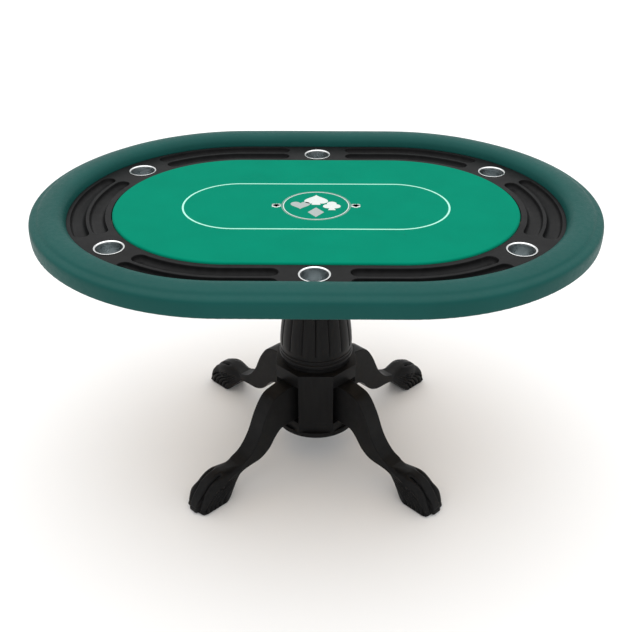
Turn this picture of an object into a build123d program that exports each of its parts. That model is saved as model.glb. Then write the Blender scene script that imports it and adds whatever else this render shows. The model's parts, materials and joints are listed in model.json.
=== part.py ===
from build123d import *
import math
import os

# Poker table on a claw-foot pedestal. The origin is on the floor under the middle of the table,
# +X runs along the length, +Z is up, and every size is in millimetres.

# Driving dimensions
TABLE_LENGTH = 1500.0
TABLE_WIDTH = 1080.0
FELT_TOP = 780.0
RAIL_TOP = 808.0
RAIL_BOTTOM = 748.0
RAIL_WIDTH = 93.0
HUB_TOP = 304.0
LEG_THICKNESS = 52.0
PAW_WIDTH = 80.0
CUP_MOUTH_RADIUS = 33.5
CUP_DEPTH = 58.0

# Plan of the top: every outline is a stadium about the same two end axes
END_RADIUS = TABLE_WIDTH / 2
STRAIGHT_HALF = (TABLE_LENGTH - TABLE_WIDTH) / 2
RAIL_INNER = END_RADIUS - RAIL_WIDTH
PLAYING_RADIUS = 330.0
TRACK_INNER = PLAYING_RADIUS + 2.0
TRACK_OUTER = RAIL_INNER - 0.5
DECK_RADIUS = 505.0

# Heights of the layers of the top
BOARD_THICKNESS = 18.0
TRACK_TOP = FELT_TOP - 4.0
DECK_TOP = TRACK_TOP - BOARD_THICKNESS
DECK_BOTTOM = DECK_TOP - BOARD_THICKNESS
CLOTH_THICKNESS = 1.5
PLAYING_BOARD_TOP = DECK_TOP + 15.0
PLAYING_FOAM_TOP = FELT_TOP - CLOTH_THICKNESS

# Cups and chip troughs
CUP_WALL = 1.0
CUP_FLANGE_RADIUS = 38.5
CUP_FLANGE_THICKNESS = 1.2
CUP_HOLE_RADIUS = CUP_MOUTH_RADIUS + CUP_WALL + 1.0
CORNER_CUP_RADIUS = 385.0
CORNER_CUP_ANGLE = 40.0
MIDDLE_CUP_Y = 380.0
TROUGH_CENTRES = (368.0, 417.0)
TROUGH_WIDTH = 39.5
TROUGH_DEPTH = 15.0
TROUGH_FLOOR_WIDTH = 22.0
END_TROUGH_ANGLE = 27.0
SIDE_TROUGH_ANGLE = 52.0
SIDE_TROUGH_START_X = 84.0

# Rail
COVER_THICKNESS = 2.0
RAIL_BOARD_INNER = RAIL_INNER + COVER_THICKNESS
RAIL_BOARD_OUTER = 532.0
SKIRT_INNER = 512.0

# Under-frame
PLATE_SIDE = 270.0
PLATE_THICKNESS = 25.0
PLATE_BOTTOM = DECK_BOTTOM - PLATE_THICKNESS
BATTEN_WIDTH = 60.0
LONG_BATTEN_LENGTH = 960.0
LONG_BATTEN_Y = 170.0
CROSS_BATTEN_X = 330.0

# Pedestal
DISC_BOTTOM = 93.0
SLAB_BOTTOM = 108.0
HUB_BOTTOM = 138.0
DISC_RADIUS = 123.0
HUB_ARM_HALF_WIDTH = 50.0
HUB_ARM_REACH = 114.0
LEG_TOP = 262.0
HUB_CAVITY_FLAT = 42.0
HUB_CAVITY_TOP = 286.0
BASE_RING_TOP = 347.0
BARREL_TOP = 600.0
COLLAR_TOP = 625.0
ROD_RADIUS = 8.0
ROD_HOLE_RADIUS = 9.0
GLIDE_HEIGHT = 3.0

# Fasteners
LEG_BOLT_RADIUS = 4.0
LEG_BOLT_HEIGHTS = (170.0, 230.0)
BOLT_RADIUS = 4.0
SCREW_RADIUS = 2.5
FIT_CLEARANCE = 0.1

os.makedirs("parts", exist_ok=True)


def save(name, shape):
    """Write one node to its own file."""
    export_step(shape, f"parts/{name}.step")


def stadium(radius, bottom, top):
    """A stadium-shaped slab about the two end axes."""
    outline = SlotCenterToCenter(2 * STRAIGHT_HALF, 2 * radius)
    return Pos(0, 0, bottom) * extrude(outline, top - bottom)


def stadium_ring(inner, outer, bottom, top):
    """A flat ring between two stadium outlines."""
    return stadium(outer, bottom, top) - stadium(inner, bottom - 1, top + 1)


def cylinder(radius, bottom, top, x=0.0, y=0.0):
    """An upright cylinder between two heights."""
    return Pos(x, y, bottom) * extrude(Circle(radius), top - bottom)


def sweep_round(section):
    """Carry a section drawn in the XZ plane (X as radius) round the stadium outline."""
    right = Pos(STRAIGHT_HALF, 0, 0) * Rot(0, 0, -90) * revolve(section, Axis.Z, 180)
    left = Rot(0, 0, 180) * right
    upright = Rot(0, 0, 90) * section
    back = Pos(-STRAIGHT_HALF, 0, 0) * extrude(upright, 2 * STRAIGHT_HALF, dir=(1, 0, 0))
    front = Rot(0, 0, 180) * back
    return right + back + left + front


def turned(points):
    """A solid turned about the Z axis from an outline of (radius, height) points."""
    wire = Polyline(*[(r, 0, z) for r, z in points], close=True)
    return revolve(make_face(wire), Axis.Z, 360)


def cup_places():
    """Centre of each cup, by name."""
    x = STRAIGHT_HALF + CORNER_CUP_RADIUS * math.cos(math.radians(CORNER_CUP_ANGLE))
    y = CORNER_CUP_RADIUS * math.sin(math.radians(CORNER_CUP_ANGLE))
    return {
        "cup_front_left": (-x, -y),
        "cup_front_middle": (0.0, -MIDDLE_CUP_Y),
        "cup_front_right": (x, -y),
        "cup_back_left": (-x, y),
        "cup_back_middle": (0.0, MIDDLE_CUP_Y),
        "cup_back_right": (x, y),
    }


def drill_all(shape, places, radius, bottom, top):
    """Cut the same upright hole at every place."""
    for x, y in places:
        shape -= cylinder(radius, bottom, top, x, y)
    return shape


def group(shapes):
    """Several separate solids as one node."""
    return Compound(children=list(shapes))


# Screw and bolt places, shared by the boards they go through
def on_arc(radius, angle):
    """A point at an angle about the right-hand end axis."""
    turn = math.radians(angle)
    return STRAIGHT_HALF + radius * math.cos(turn), radius * math.sin(turn)


def four_ways(x, y):
    """A point and its three mirror images."""
    return [(x, y), (-x, y), (x, -y), (-x, -y)]


ARC_X, ARC_Y = on_arc(480.0, 45.0)
RAIL_BOLTS = four_ways(ARC_X, ARC_Y) + four_ways(120.0, 480.0) + [(690.0, 0.0), (-690.0, 0.0)]
EDGE_X, EDGE_Y = on_arc(341.0, 32.0)
TRACK_SCREWS = four_ways(EDGE_X, EDGE_Y) + four_ways(60.0, 341.0)
EDGE_X, EDGE_Y = on_arc(441.0, 32.0)
TRACK_SCREWS += four_ways(EDGE_X, EDGE_Y) + four_ways(60.0, 441.0)
EDGE_X, EDGE_Y = on_arc(392.5, 49.0)
TRACK_SCREWS += four_ways(EDGE_X, EDGE_Y)
BOARD_SCREWS = four_ways(420.0, 80.0) + four_ways(180.0, 270.0)
PLATE_BOLTS = four_ways(115.0, 115.0)
BATTEN_SCREWS = four_ways(450.0, LONG_BATTEN_Y) + four_ways(200.0, LONG_BATTEN_Y)
BATTEN_SCREWS += four_ways(CROSS_BATTEN_X, 90.0)
DISC_SCREWS = four_ways(68.0, 68.0)


# The deck that carries the top
def make_deck():
    deck = stadium(DECK_RADIUS, DECK_BOTTOM, DECK_TOP)
    deck = drill_all(deck, cup_places().values(), CUP_HOLE_RADIUS, DECK_BOTTOM - 1, DECK_TOP + 1)
    deck = drill_all(deck, RAIL_BOLTS + PLATE_BOLTS, BOLT_RADIUS + 0.5, DECK_BOTTOM - 1, DECK_TOP + 1)
    screws = TRACK_SCREWS + BOARD_SCREWS
    hole = SCREW_RADIUS + FIT_CLEARANCE
    deck = drill_all(deck, screws, hole, DECK_BOTTOM - 1, DECK_TOP + 1)
    return drill_all(deck, BATTEN_SCREWS, hole, DECK_BOTTOM - 1, DECK_BOTTOM + 12)


def make_battens():
    batten_top = DECK_BOTTOM
    long_ones = []
    cross_ones = []
    for side in (-1, 1):
        bar = Pos(0, side * LONG_BATTEN_Y, PLATE_BOTTOM) * extrude(
            Rectangle(LONG_BATTEN_LENGTH, BATTEN_WIDTH), batten_top - PLATE_BOTTOM
        )
        long_ones.append(drill_all(bar, BATTEN_SCREWS, SCREW_RADIUS + FIT_CLEARANCE, 0, FELT_TOP))
        reach = 2 * LONG_BATTEN_Y - BATTEN_WIDTH
        bar = Pos(side * CROSS_BATTEN_X, 0, PLATE_BOTTOM) * extrude(
            Rectangle(BATTEN_WIDTH, reach), batten_top - PLATE_BOTTOM
        )
        cross_ones.append(drill_all(bar, BATTEN_SCREWS, SCREW_RADIUS + FIT_CLEARANCE, 0, FELT_TOP))
    save("long_battens", group(long_ones))
    save("cross_battens", group(cross_ones))


# The racetrack: six boards that butt together under the cups, with two chip troughs in each
def trough_section(centre):
    """Trough outline in the XZ plane: steep walls and a floor with rounded corners."""
    top = TRACK_TOP + 1.0
    floor = TRACK_TOP - TROUGH_DEPTH
    half_top = TROUGH_WIDTH / 2
    half_floor = TROUGH_FLOOR_WIDTH / 2
    knee = TRACK_TOP - 5.0
    outline = Polyline(
        (centre - half_top, 0, top),
        (centre - half_top, 0, knee),
        (centre - half_floor, 0, floor),
        (centre + half_floor, 0, floor),
        (centre + half_top, 0, knee),
        (centre + half_top, 0, top),
        close=True,
    )
    return make_face(outline)


def trough_end(centre):
    """Half of the trough outline, to be turned into its rounded end."""
    top = TRACK_TOP + 1.0
    floor = TRACK_TOP - TROUGH_DEPTH
    knee = TRACK_TOP - 5.0
    return turned(
        [
            (0, floor),
            (TROUGH_FLOOR_WIDTH / 2, floor),
            (TROUGH_WIDTH / 2, knee),
            (TROUGH_WIDTH / 2, top),
            (0, top),
        ]
    )


def arc_trough(centre, start, end):
    """A trough along an arc about the right-hand end axis, without its rounded ends."""
    swept = revolve(trough_section(centre), Axis.Z, end - start)
    return Pos(STRAIGHT_HALF, 0, 0) * Rot(0, 0, start) * swept


def end_troughs():
    """The pair of troughs across the right-hand end."""
    cuts = []
    for centre in TROUGH_CENTRES:
        margin = math.degrees(TROUGH_WIDTH / 2 / centre)
        limit = END_TROUGH_ANGLE - margin
        cuts.append(arc_trough(centre, -limit, limit))
        for angle in (-limit, limit):
            x, y = on_arc(centre, angle)
            cuts.append(Pos(x, y, 0) * trough_end(centre))
    return cuts


def side_troughs():
    """The pair of troughs in the back right quarter: an arc that runs out straight."""
    cuts = []
    for centre in TROUGH_CENTRES:
        margin = math.degrees(TROUGH_WIDTH / 2 / centre)
        start = SIDE_TROUGH_ANGLE + margin
        cuts.append(arc_trough(centre, start, 90.0))
        x, y = on_arc(centre, start)
        cuts.append(Pos(x, y, 0) * trough_end(centre))
        run_start = SIDE_TROUGH_START_X + TROUGH_WIDTH / 2
        upright = Rot(0, 0, 90) * trough_section(centre)
        run = extrude(upright, STRAIGHT_HALF - run_start, dir=(1, 0, 0))
        cuts.append(Pos(run_start, 0, 0) * run)
        cuts.append(Pos(run_start, centre, 0) * trough_end(centre))
    return cuts


def wedge(start, end, low=DECK_TOP - 5, height=40):
    """A tall wedge about the right-hand end axis, to part the boards that run round it."""
    far = 700.0
    points = [(STRAIGHT_HALF, 0)]
    steps = 4
    for step in range(steps + 1):
        turn = math.radians(start + (end - start) * step / steps)
        points.append((STRAIGHT_HALF + far * math.cos(turn), far * math.sin(turn)))
    return Pos(0, 0, low) * extrude(make_face(Polyline(*points, close=True)), height)


def make_track():
    ring = stadium_ring(TRACK_INNER, TRACK_OUTER, DECK_TOP, TRACK_TOP)
    ring = drill_all(ring, cup_places().values(), CUP_HOLE_RADIUS, DECK_TOP - 1, TRACK_TOP + 1)
    ring = drill_all(ring, TRACK_SCREWS, SCREW_RADIUS + FIT_CLEARANCE, DECK_TOP - 1, TRACK_TOP - 5)
    end_board = ring & wedge(-CORNER_CUP_ANGLE, CORNER_CUP_ANGLE)
    for cut in end_troughs():
        end_board -= cut
    quarter = Pos(0, 0, DECK_TOP - 5) * extrude(Pos(400, 300) * Rectangle(800, 600), 40)
    side_board = (ring & quarter) - wedge(-CORNER_CUP_ANGLE, CORNER_CUP_ANGLE)
    for cut in side_troughs():
        side_board -= cut
    save("track_end_right", end_board)
    save("track_end_left", mirror(end_board, Plane.YZ))
    save("track_back_right", side_board)
    save("track_back_left", mirror(side_board, Plane.YZ))
    save("track_front_right", mirror(side_board, Plane.XZ))
    save("track_front_left", Rot(0, 0, 180) * side_board)


# The cloth-covered playing board, dropped in inside the racetrack
def make_playing_surface():
    inner = PLAYING_RADIUS - CLOTH_THICKNESS
    board = stadium(inner, DECK_TOP, PLAYING_BOARD_TOP)
    hole = SCREW_RADIUS + FIT_CLEARANCE
    save("playing_board", drill_all(board, BOARD_SCREWS, hole, DECK_TOP - 1, DECK_TOP + 12))
    save("playing_foam", stadium(inner, PLAYING_BOARD_TOP, PLAYING_FOAM_TOP))
    cloth = stadium(PLAYING_RADIUS, DECK_TOP, FELT_TOP) - stadium(inner, DECK_TOP - 1, PLAYING_FOAM_TOP)
    save("playing_cloth", cloth)


# The padded rail
def rail_outline(inset=0.0):
    """Section of the covered rail in the XZ plane, X as the radius, drawn in by an inset."""
    corner = 3.0
    inner = RAIL_INNER + inset
    outer = END_RADIUS - inset
    floor = DECK_TOP + inset
    low = RAIL_BOTTOM + inset
    step = SKIRT_INNER + inset
    inner_foot = (inner, TRACK_TOP)
    inner_bulge = (inner + 6.0 - 0.1 * inset, TRACK_TOP + 19.0 - 0.4 * inset)
    inner_top = (inner + 20.0 - 0.5 * inset, RAIL_TOP - 2.5 - 0.9 * inset)
    crest = (RAIL_INNER + 38.0, RAIL_TOP - inset)
    crown = (RAIL_INNER + 66.0, RAIL_TOP - 4.2 - inset)
    shoulder = (outer - 7.0 + 0.5 * inset, RAIL_TOP - 15.5 - 0.9 * inset)
    edge_middle = (outer - 1.8 + 0.1 * inset, RAIL_TOP - 19.6 - 0.5 * inset)
    side_top = (outer, RAIL_TOP - 25.0)
    edges = [
        Line((inner, floor), inner_foot),
        ThreePointArc(inner_foot, inner_bulge, inner_top),
        Spline(inner_top, crest, crown, shoulder),
        ThreePointArc(shoulder, edge_middle, side_top),
        Line(side_top, (outer, low + corner)),
        Line((outer, low + corner), (outer - corner, low)),
        Line((outer - corner, low), (step, low)),
        Line((step, low), (step, floor)),
        Line((step, floor), (inner, floor)),
    ]
    return make_face(edges)


def block(x_low, x_high, z_low, z_high):
    """A rectangle drawn flat, X as radius and Y as height."""
    size = Rectangle(x_high - x_low, z_high - z_low)
    return Pos((x_low + x_high) / 2, (z_low + z_high) / 2) * size


def stand_up(section):
    """Turn a flat section up into the XZ plane."""
    return Rot(90, 0, 0) * section


def in_lengths(ring, sectors=9):
    """Part a ring of the rail into butt-jointed lengths: two straight ones, and sectors at each end."""
    gap = FIT_CLEARANCE
    straight = Box(2 * STRAIGHT_HALF - gap, 3 * END_RADIUS, 200)
    front_and_back = Pos(0, 0, DECK_TOP) * straight & ring
    lengths = list(front_and_back.solids())
    step = 180 / sectors
    open_angle = math.degrees(gap / END_RADIUS)
    for number in range(sectors):
        start = -90 + number * step
        sector = Pos(gap / 2, 0, 0) * wedge(start + open_angle, start + step, RAIL_BOTTOM - 20, 100)
        length = ring & sector
        lengths += list(length.solids())
        lengths += list((Rot(0, 0, 180) * length).solids())
    return group(lengths)


def make_rail():
    outside = rail_outline()
    inside = rail_outline(COVER_THICKNESS)
    low = RAIL_BOTTOM - 5
    open_floor = block(RAIL_BOARD_INNER, SKIRT_INNER + 2, low, DECK_TOP + COVER_THICKNESS + 1)
    cover = outside - inside - open_floor
    base = block(RAIL_BOARD_INNER, RAIL_BOARD_OUTER, DECK_TOP, TRACK_TOP)
    skirt = block(SKIRT_INNER + 2, RAIL_BOARD_OUTER, RAIL_BOTTOM + COVER_THICKNESS, DECK_TOP)
    below = block(RAIL_INNER - 10, RAIL_BOARD_OUTER, low, TRACK_TOP)
    foam = inside - below
    rail_base = sweep_round(stand_up(base))
    rail_base = drill_all(rail_base, RAIL_BOLTS, BOLT_RADIUS + 1.0 + FIT_CLEARANCE, 700, 790)
    save("rail_base_board", in_lengths(rail_base))
    save("rail_skirt_board", in_lengths(sweep_round(stand_up(skirt))))
    rail_foam = drill_all(sweep_round(stand_up(foam)), RAIL_BOLTS, 11.0, 700, TRACK_TOP + 2.5)
    save("rail_foam", in_lengths(rail_foam, 1))
    save("rail_cover", sweep_round(stand_up(cover)))


# The drop-in steel cups
def make_cups():
    wall = CUP_MOUTH_RADIUS + CUP_WALL
    flange_top = TRACK_TOP + CUP_FLANGE_THICKNESS
    bottom = flange_top - CUP_DEPTH - CUP_WALL
    outline = [
        (0, bottom),
        (wall - 5, bottom),
        (wall, bottom + 5),
        (wall, TRACK_TOP),
        (CUP_FLANGE_RADIUS, TRACK_TOP),
        (CUP_FLANGE_RADIUS, flange_top - 0.4),
        (CUP_FLANGE_RADIUS - 0.6, flange_top),
        (CUP_MOUTH_RADIUS + 0.8, flange_top),
        (CUP_MOUTH_RADIUS, flange_top - 0.8),
        (CUP_MOUTH_RADIUS, bottom + 5.4),
        (CUP_MOUTH_RADIUS - 4.4, bottom + CUP_WALL),
        (0, bottom + CUP_WALL),
    ]
    for name, (x, y) in cup_places().items():
        save(name, Pos(x, y, 0) * turned(outline))


# The column
def make_column():
    hole_bottom = SLAB_BOTTOM - 50
    plate = Pos(0, 0, PLATE_BOTTOM) * extrude(Rectangle(PLATE_SIDE, PLATE_SIDE), PLATE_THICKNESS)
    plate -= cylinder(ROD_HOLE_RADIUS, hole_bottom, FELT_TOP)
    plate -= cylinder(18.0, DECK_BOTTOM - 18.0, FELT_TOP)
    save("top_plate", drill_all(plate, PLATE_BOLTS, BOLT_RADIUS + 0.5, 600, FELT_TOP))
    capital = turned(
        [
            (ROD_HOLE_RADIUS, COLLAR_TOP),
            (60, COLLAR_TOP),
            (62, 650),
            (70, 672),
            (86, 690),
            (104, 700),
            (110, 703),
            (110, PLATE_BOTTOM),
            (ROD_HOLE_RADIUS, PLATE_BOTTOM),
        ]
    )
    save("column_capital", capital)
    collar = turned(
        [
            (ROD_HOLE_RADIUS, BARREL_TOP),
            (68, BARREL_TOP),
            (73, BARREL_TOP + 4),
            (75, BARREL_TOP + 12),
            (72, BARREL_TOP + 20),
            (66, COLLAR_TOP),
            (ROD_HOLE_RADIUS, COLLAR_TOP),
        ]
    )
    save("column_collar", collar)
    waist = Spline(
        (104.0, 0, BASE_RING_TOP),
        (104.5, 0, 375.0),
        (100.3, 0, 416.0),
        (91.0, 0, 470.0),
        (76.0, 0, 540.0),
        (66.0, 0, BARREL_TOP),
    )
    edges = [
        waist,
        Line(waist @ 1, (ROD_HOLE_RADIUS, 0, BARREL_TOP)),
        Line((ROD_HOLE_RADIUS, 0, BARREL_TOP), (ROD_HOLE_RADIUS, 0, BASE_RING_TOP)),
        Line((ROD_HOLE_RADIUS, 0, BASE_RING_TOP), waist @ 0),
    ]
    save("column_barrel", revolve(make_face(edges), Axis.Z, 360))
    ring = turned(
        [
            (ROD_HOLE_RADIUS, HUB_TOP),
            (98, HUB_TOP),
            (99, 318),
            (104, 321),
            (106, 328),
            (104, 334.5),
            (101.5, 336),
            (104, 338),
            (104.5, 342),
            (103, BASE_RING_TOP),
            (ROD_HOLE_RADIUS, BASE_RING_TOP),
        ]
    )
    save("column_base_ring", ring)


# The hub that the legs are bolted to
def hub_octagon():
    """Plan of the hub's slabs: a square with its corners cut off between the arms' edges."""
    near, far = HUB_ARM_HALF_WIDTH, HUB_ARM_REACH
    quarter = [(far, -near), (far, near), (near, far), (-near, far)]
    opposite = [(-x, -y) for x, y in quarter]
    return make_face(Polyline(*(quarter + opposite), close=True))


def make_hub():
    arms = Rectangle(2 * HUB_ARM_HALF_WIDTH, 2 * HUB_ARM_REACH)
    cross = arms + Rectangle(2 * HUB_ARM_REACH, 2 * HUB_ARM_HALF_WIDTH)
    core = Pos(0, 0, HUB_BOTTOM) * extrude(cross, HUB_TOP - HUB_BOTTOM)
    core += Pos(0, 0, LEG_TOP) * extrude(hub_octagon(), HUB_TOP - LEG_TOP)
    cavity = Rot(0, 0, 45) * Rectangle(2 * HUB_CAVITY_FLAT, 2 * HUB_CAVITY_FLAT)
    core -= Pos(0, 0, HUB_BOTTOM - 1) * extrude(cavity, HUB_CAVITY_TOP - HUB_BOTTOM + 1)
    core -= cylinder(ROD_HOLE_RADIUS, HUB_BOTTOM, HUB_TOP + 1)
    for hole in leg_bolt_shapes(LEG_BOLT_RADIUS + 0.5, 0.0, 120.0):
        core -= hole
    save("hub_core", core)
    slab = Pos(0, 0, SLAB_BOTTOM) * extrude(hub_octagon(), HUB_BOTTOM - SLAB_BOTTOM)
    slab -= cylinder(ROD_HOLE_RADIUS, SLAB_BOTTOM - 1, HUB_BOTTOM + 1)
    hole = SCREW_RADIUS + FIT_CLEARANCE
    save("hub_slab", drill_all(slab, DISC_SCREWS, hole, SLAB_BOTTOM - 1, SLAB_BOTTOM + 12))
    disc = cylinder(DISC_RADIUS, DISC_BOTTOM, SLAB_BOTTOM)
    disc -= cylinder(ROD_HOLE_RADIUS, DISC_BOTTOM - 1, SLAB_BOTTOM + 1)
    save("bottom_disc", drill_all(disc, DISC_SCREWS, hole, DISC_BOTTOM - 1, SLAB_BOTTOM + 1))


def leg_bolt_shapes(radius, start, end):
    """A level rod at each bolt height on each diagonal, between two distances from the axis."""
    rods = []
    for quarter in range(4):
        for height in LEG_BOLT_HEIGHTS:
            rod = Pos(start, 0, height) * Rot(0, 90, 0) * extrude(Circle(radius), end - start)
            rods.append(Rot(0, 0, 45 + 90 * quarter) * rod)
    return rods


# The legs, each drawn in its own upright plane with X as the distance from the column's axis
LEG_TOP_LINE = (
    (132, 261),
    (152, 259.5),
    (172, 256),
    (190, 248),
    (207, 232),
    (222, 206),
    (237, 174),
    (252, 144),
    (287, 104),
    (325, 88),
)
PAW_TOP_LINE = (
    (325, 88),
    (365, 96),
    (402, 99),
    (434, 84),
    (454, 58),
    (470, 38),
    (478, 14),
)
UNDER_LINE = (
    (160, HUB_BOTTOM),
    (186, 124),
    (212, 91),
    (243, 73),
    (286, 70),
    (326, 62),
    (350, 38),
    (372, 13),
)


def leg_outline():
    """Side view of a leg board."""
    tip = (477, GLIDE_HEIGHT)
    heel = (388, GLIDE_HEIGHT)
    inner = 60
    edges = [
        Line((inner, HUB_BOTTOM), (inner, LEG_TOP)),
        Line((inner, LEG_TOP), (120, LEG_TOP)),
        Line((120, LEG_TOP), LEG_TOP_LINE[0]),
        Spline(*LEG_TOP_LINE),
        Spline(*PAW_TOP_LINE),
        Line(PAW_TOP_LINE[-1], tip),
        Line(tip, heel),
        Line(heel, UNDER_LINE[-1]),
        Spline(*UNDER_LINE),
        Line(UNDER_LINE[0], (inner, HUB_BOTTOM)),
    ]
    return make_face(edges)


def make_leg_right():
    """A leg along +X before it is turned to its corner."""
    side = stand_up(leg_outline())
    board = extrude(side, PAW_WIDTH / 2, both=True)
    slim = LEG_THICKNESS / 2
    wide = PAW_WIDTH / 2
    plan_points = [
        (0, -slim),
        (320, -slim),
        (352, -slim - 5),
        (388, -wide + 2),
        (420, -wide),
        (450, -wide + 1),
        (468, -wide + 5),
        (480, -wide + 14),
    ]
    mirrored = [(x, -y) for x, y in reversed(plan_points)]
    plan = make_face(Polyline(*(plan_points + mirrored), close=True))
    return board & extrude(plan, 400)


def make_legs():
    leg = Rot(0, 0, 45) * make_leg_right()
    corner = Pos(500 + HUB_ARM_HALF_WIDTH, 500 + HUB_ARM_HALF_WIDTH, 0) * extrude(Rectangle(1000, 1000), 400)
    leg = leg & corner
    for hole in leg_bolt_shapes(LEG_BOLT_RADIUS + FIT_CLEARANCE, 60.0, 132.0)[:2]:
        leg -= hole
    names = ("leg_back_right", "leg_back_left", "leg_front_left", "leg_front_right")
    for quarter, name in enumerate(names):
        save(name, Rot(0, 0, 90 * quarter) * leg)
    glides = []
    for quarter in range(4):
        glide = extrude(Circle(15), GLIDE_HEIGHT)
        glides.append(Rot(0, 0, 45 + 90 * quarter) * Pos(428, 0, 0) * glide)
    save("foot_glides", group(glides))


# Hardware
def hex_nut(across_flats, thickness, hole):
    """A plain hexagon nut lying on the XY plane."""
    nut = extrude(RegularPolygon(across_flats / 2, 6, major_radius=False), thickness)
    return nut - cylinder(hole, -1, thickness + 1)


def headed_pin(radius, bottom, top, head_radius, head_height, x, y):
    """A screw or bolt standing head down."""
    shank = cylinder(radius, bottom, top, x, y)
    return shank + cylinder(head_radius, bottom - head_height, bottom, x, y)


def pin_group(places, radius, bottom, top, head_radius, head_height):
    """The same headed pin at every place."""
    return group(headed_pin(radius, bottom, top, head_radius, head_height, x, y) for x, y in places)


def make_hardware():
    rod_bottom = DISC_BOTTOM - 16.0
    rod_top = DECK_BOTTOM - 1.0
    save("tie_rod", cylinder(ROD_RADIUS, rod_bottom, rod_top))
    nut_hole = ROD_RADIUS + 0.05
    top_nut = Pos(0, 0, DECK_BOTTOM - 15.0) * hex_nut(24, 12, nut_hole)
    low_nut = Pos(0, 0, DISC_BOTTOM - 15.0) * hex_nut(24, 12, nut_hole)
    save("tie_rod_nuts", group([top_nut, low_nut]))
    washers = []
    for bottom in (DECK_BOTTOM - 18.0, DISC_BOTTOM - 3.0):
        washers.append(cylinder(16.5, bottom, bottom + 3.0) - cylinder(ROD_RADIUS + 0.3, 0, FELT_TOP))
    save("tie_rod_washers", group(washers))

    wall = HUB_CAVITY_FLAT
    save("leg_bolts", group(leg_bolt_shapes(LEG_BOLT_RADIUS, wall - 11.0, 130.0)))
    nuts = []
    rings = []
    for quarter in range(4):
        for height in LEG_BOLT_HEIGHTS:
            lay = Rot(0, 0, 45 + 90 * quarter) * Pos(wall - 9.0, 0, height) * Rot(0, 90, 0)
            nuts.append(lay * hex_nut(13, 6.5, LEG_BOLT_RADIUS + 0.05))
            lay = Rot(0, 0, 45 + 90 * quarter) * Pos(wall - 2.5, 0, height) * Rot(0, 90, 0)
            ring = extrude(Circle(9) - Circle(LEG_BOLT_RADIUS + 0.3), 2.4)
            rings.append(lay * ring)
    save("leg_bolt_nuts", group(nuts))
    save("leg_bolt_washers", group(rings))

    save("plate_bolts", pin_group(PLATE_BOLTS, BOLT_RADIUS, PLATE_BOTTOM, DECK_TOP - 4, 9, 4))
    save("rail_bolts", pin_group(RAIL_BOLTS, BOLT_RADIUS, DECK_BOTTOM, TRACK_TOP - 1, 9, 4))
    barrels = []
    for x, y in RAIL_BOLTS:
        sleeve = cylinder(BOLT_RADIUS + 1.0, TRACK_TOP - 12, TRACK_TOP, x, y)
        sleeve += cylinder(10.5, TRACK_TOP, TRACK_TOP + 1.5, x, y)
        barrels.append(sleeve - cylinder(BOLT_RADIUS + 0.05, TRACK_TOP - 13, TRACK_TOP - 0.5, x, y))
    save("rail_tee_nuts", group(barrels))
    save("track_screws", pin_group(TRACK_SCREWS, SCREW_RADIUS, DECK_BOTTOM, TRACK_TOP - 6, 5, 3))
    save("board_screws", pin_group(BOARD_SCREWS, SCREW_RADIUS, DECK_BOTTOM, DECK_TOP + 11, 5, 3))
    save("batten_screws", pin_group(BATTEN_SCREWS, SCREW_RADIUS, PLATE_BOTTOM, DECK_BOTTOM + 11, 5, 3))
    save("disc_screws", pin_group(DISC_SCREWS, SCREW_RADIUS, DISC_BOTTOM, SLAB_BOTTOM + 11, 5, 3))


save("deck_board", make_deck())
make_battens()
make_track()
make_playing_surface()
make_rail()
make_cups()
make_column()
make_hub()
make_legs()
make_hardware()
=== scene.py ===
"""Looks of an oval poker table on a claw-foot pedestal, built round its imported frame."""

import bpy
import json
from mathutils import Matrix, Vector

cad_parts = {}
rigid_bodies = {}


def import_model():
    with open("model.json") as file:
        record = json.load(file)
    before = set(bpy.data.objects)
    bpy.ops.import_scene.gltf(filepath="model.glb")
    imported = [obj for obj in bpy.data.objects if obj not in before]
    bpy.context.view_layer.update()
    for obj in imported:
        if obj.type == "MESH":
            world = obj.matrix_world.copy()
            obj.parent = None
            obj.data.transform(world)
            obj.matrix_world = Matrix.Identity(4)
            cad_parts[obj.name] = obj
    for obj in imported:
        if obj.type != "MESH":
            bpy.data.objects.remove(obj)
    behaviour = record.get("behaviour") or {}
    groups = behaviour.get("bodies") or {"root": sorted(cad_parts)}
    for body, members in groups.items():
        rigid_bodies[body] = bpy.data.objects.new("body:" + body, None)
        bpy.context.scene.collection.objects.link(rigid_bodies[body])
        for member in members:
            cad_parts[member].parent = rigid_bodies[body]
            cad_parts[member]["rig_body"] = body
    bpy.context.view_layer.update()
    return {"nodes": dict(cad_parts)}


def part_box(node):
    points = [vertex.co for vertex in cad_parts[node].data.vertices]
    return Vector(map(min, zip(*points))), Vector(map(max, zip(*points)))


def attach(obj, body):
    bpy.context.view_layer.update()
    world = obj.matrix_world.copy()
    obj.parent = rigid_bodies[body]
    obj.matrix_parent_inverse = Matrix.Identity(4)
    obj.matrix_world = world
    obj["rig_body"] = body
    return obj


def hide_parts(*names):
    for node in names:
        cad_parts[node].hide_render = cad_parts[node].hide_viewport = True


bl_info = {
    "name": "Poker Table",
    "version": (1, 0, 0),
    "blender": (4, 5, 0),
    "location": "View3D > Sidebar > Poker Table",
    "description": "Builds the rail, cloth, racetrack, cups and pedestal of a poker table",
    "category": "Object",
}

import json
import math

import bmesh
import bpy
import numpy as np
from mathutils import Vector
from mathutils.geometry import tessellate_polygon

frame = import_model()

MM = 0.001
CUPS = [f"cup_{row}_{place}" for row in ("front", "back") for place in ("left", "middle", "right")]
TRACK_BOARDS = [f"track_{row}_{side}" for row in ("end", "back", "front") for side in ("right", "left")]
LEGS = {
    "leg_back_right": 45.0,
    "leg_back_left": 135.0,
    "leg_front_left": 225.0,
    "leg_front_right": 315.0,
}

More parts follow.
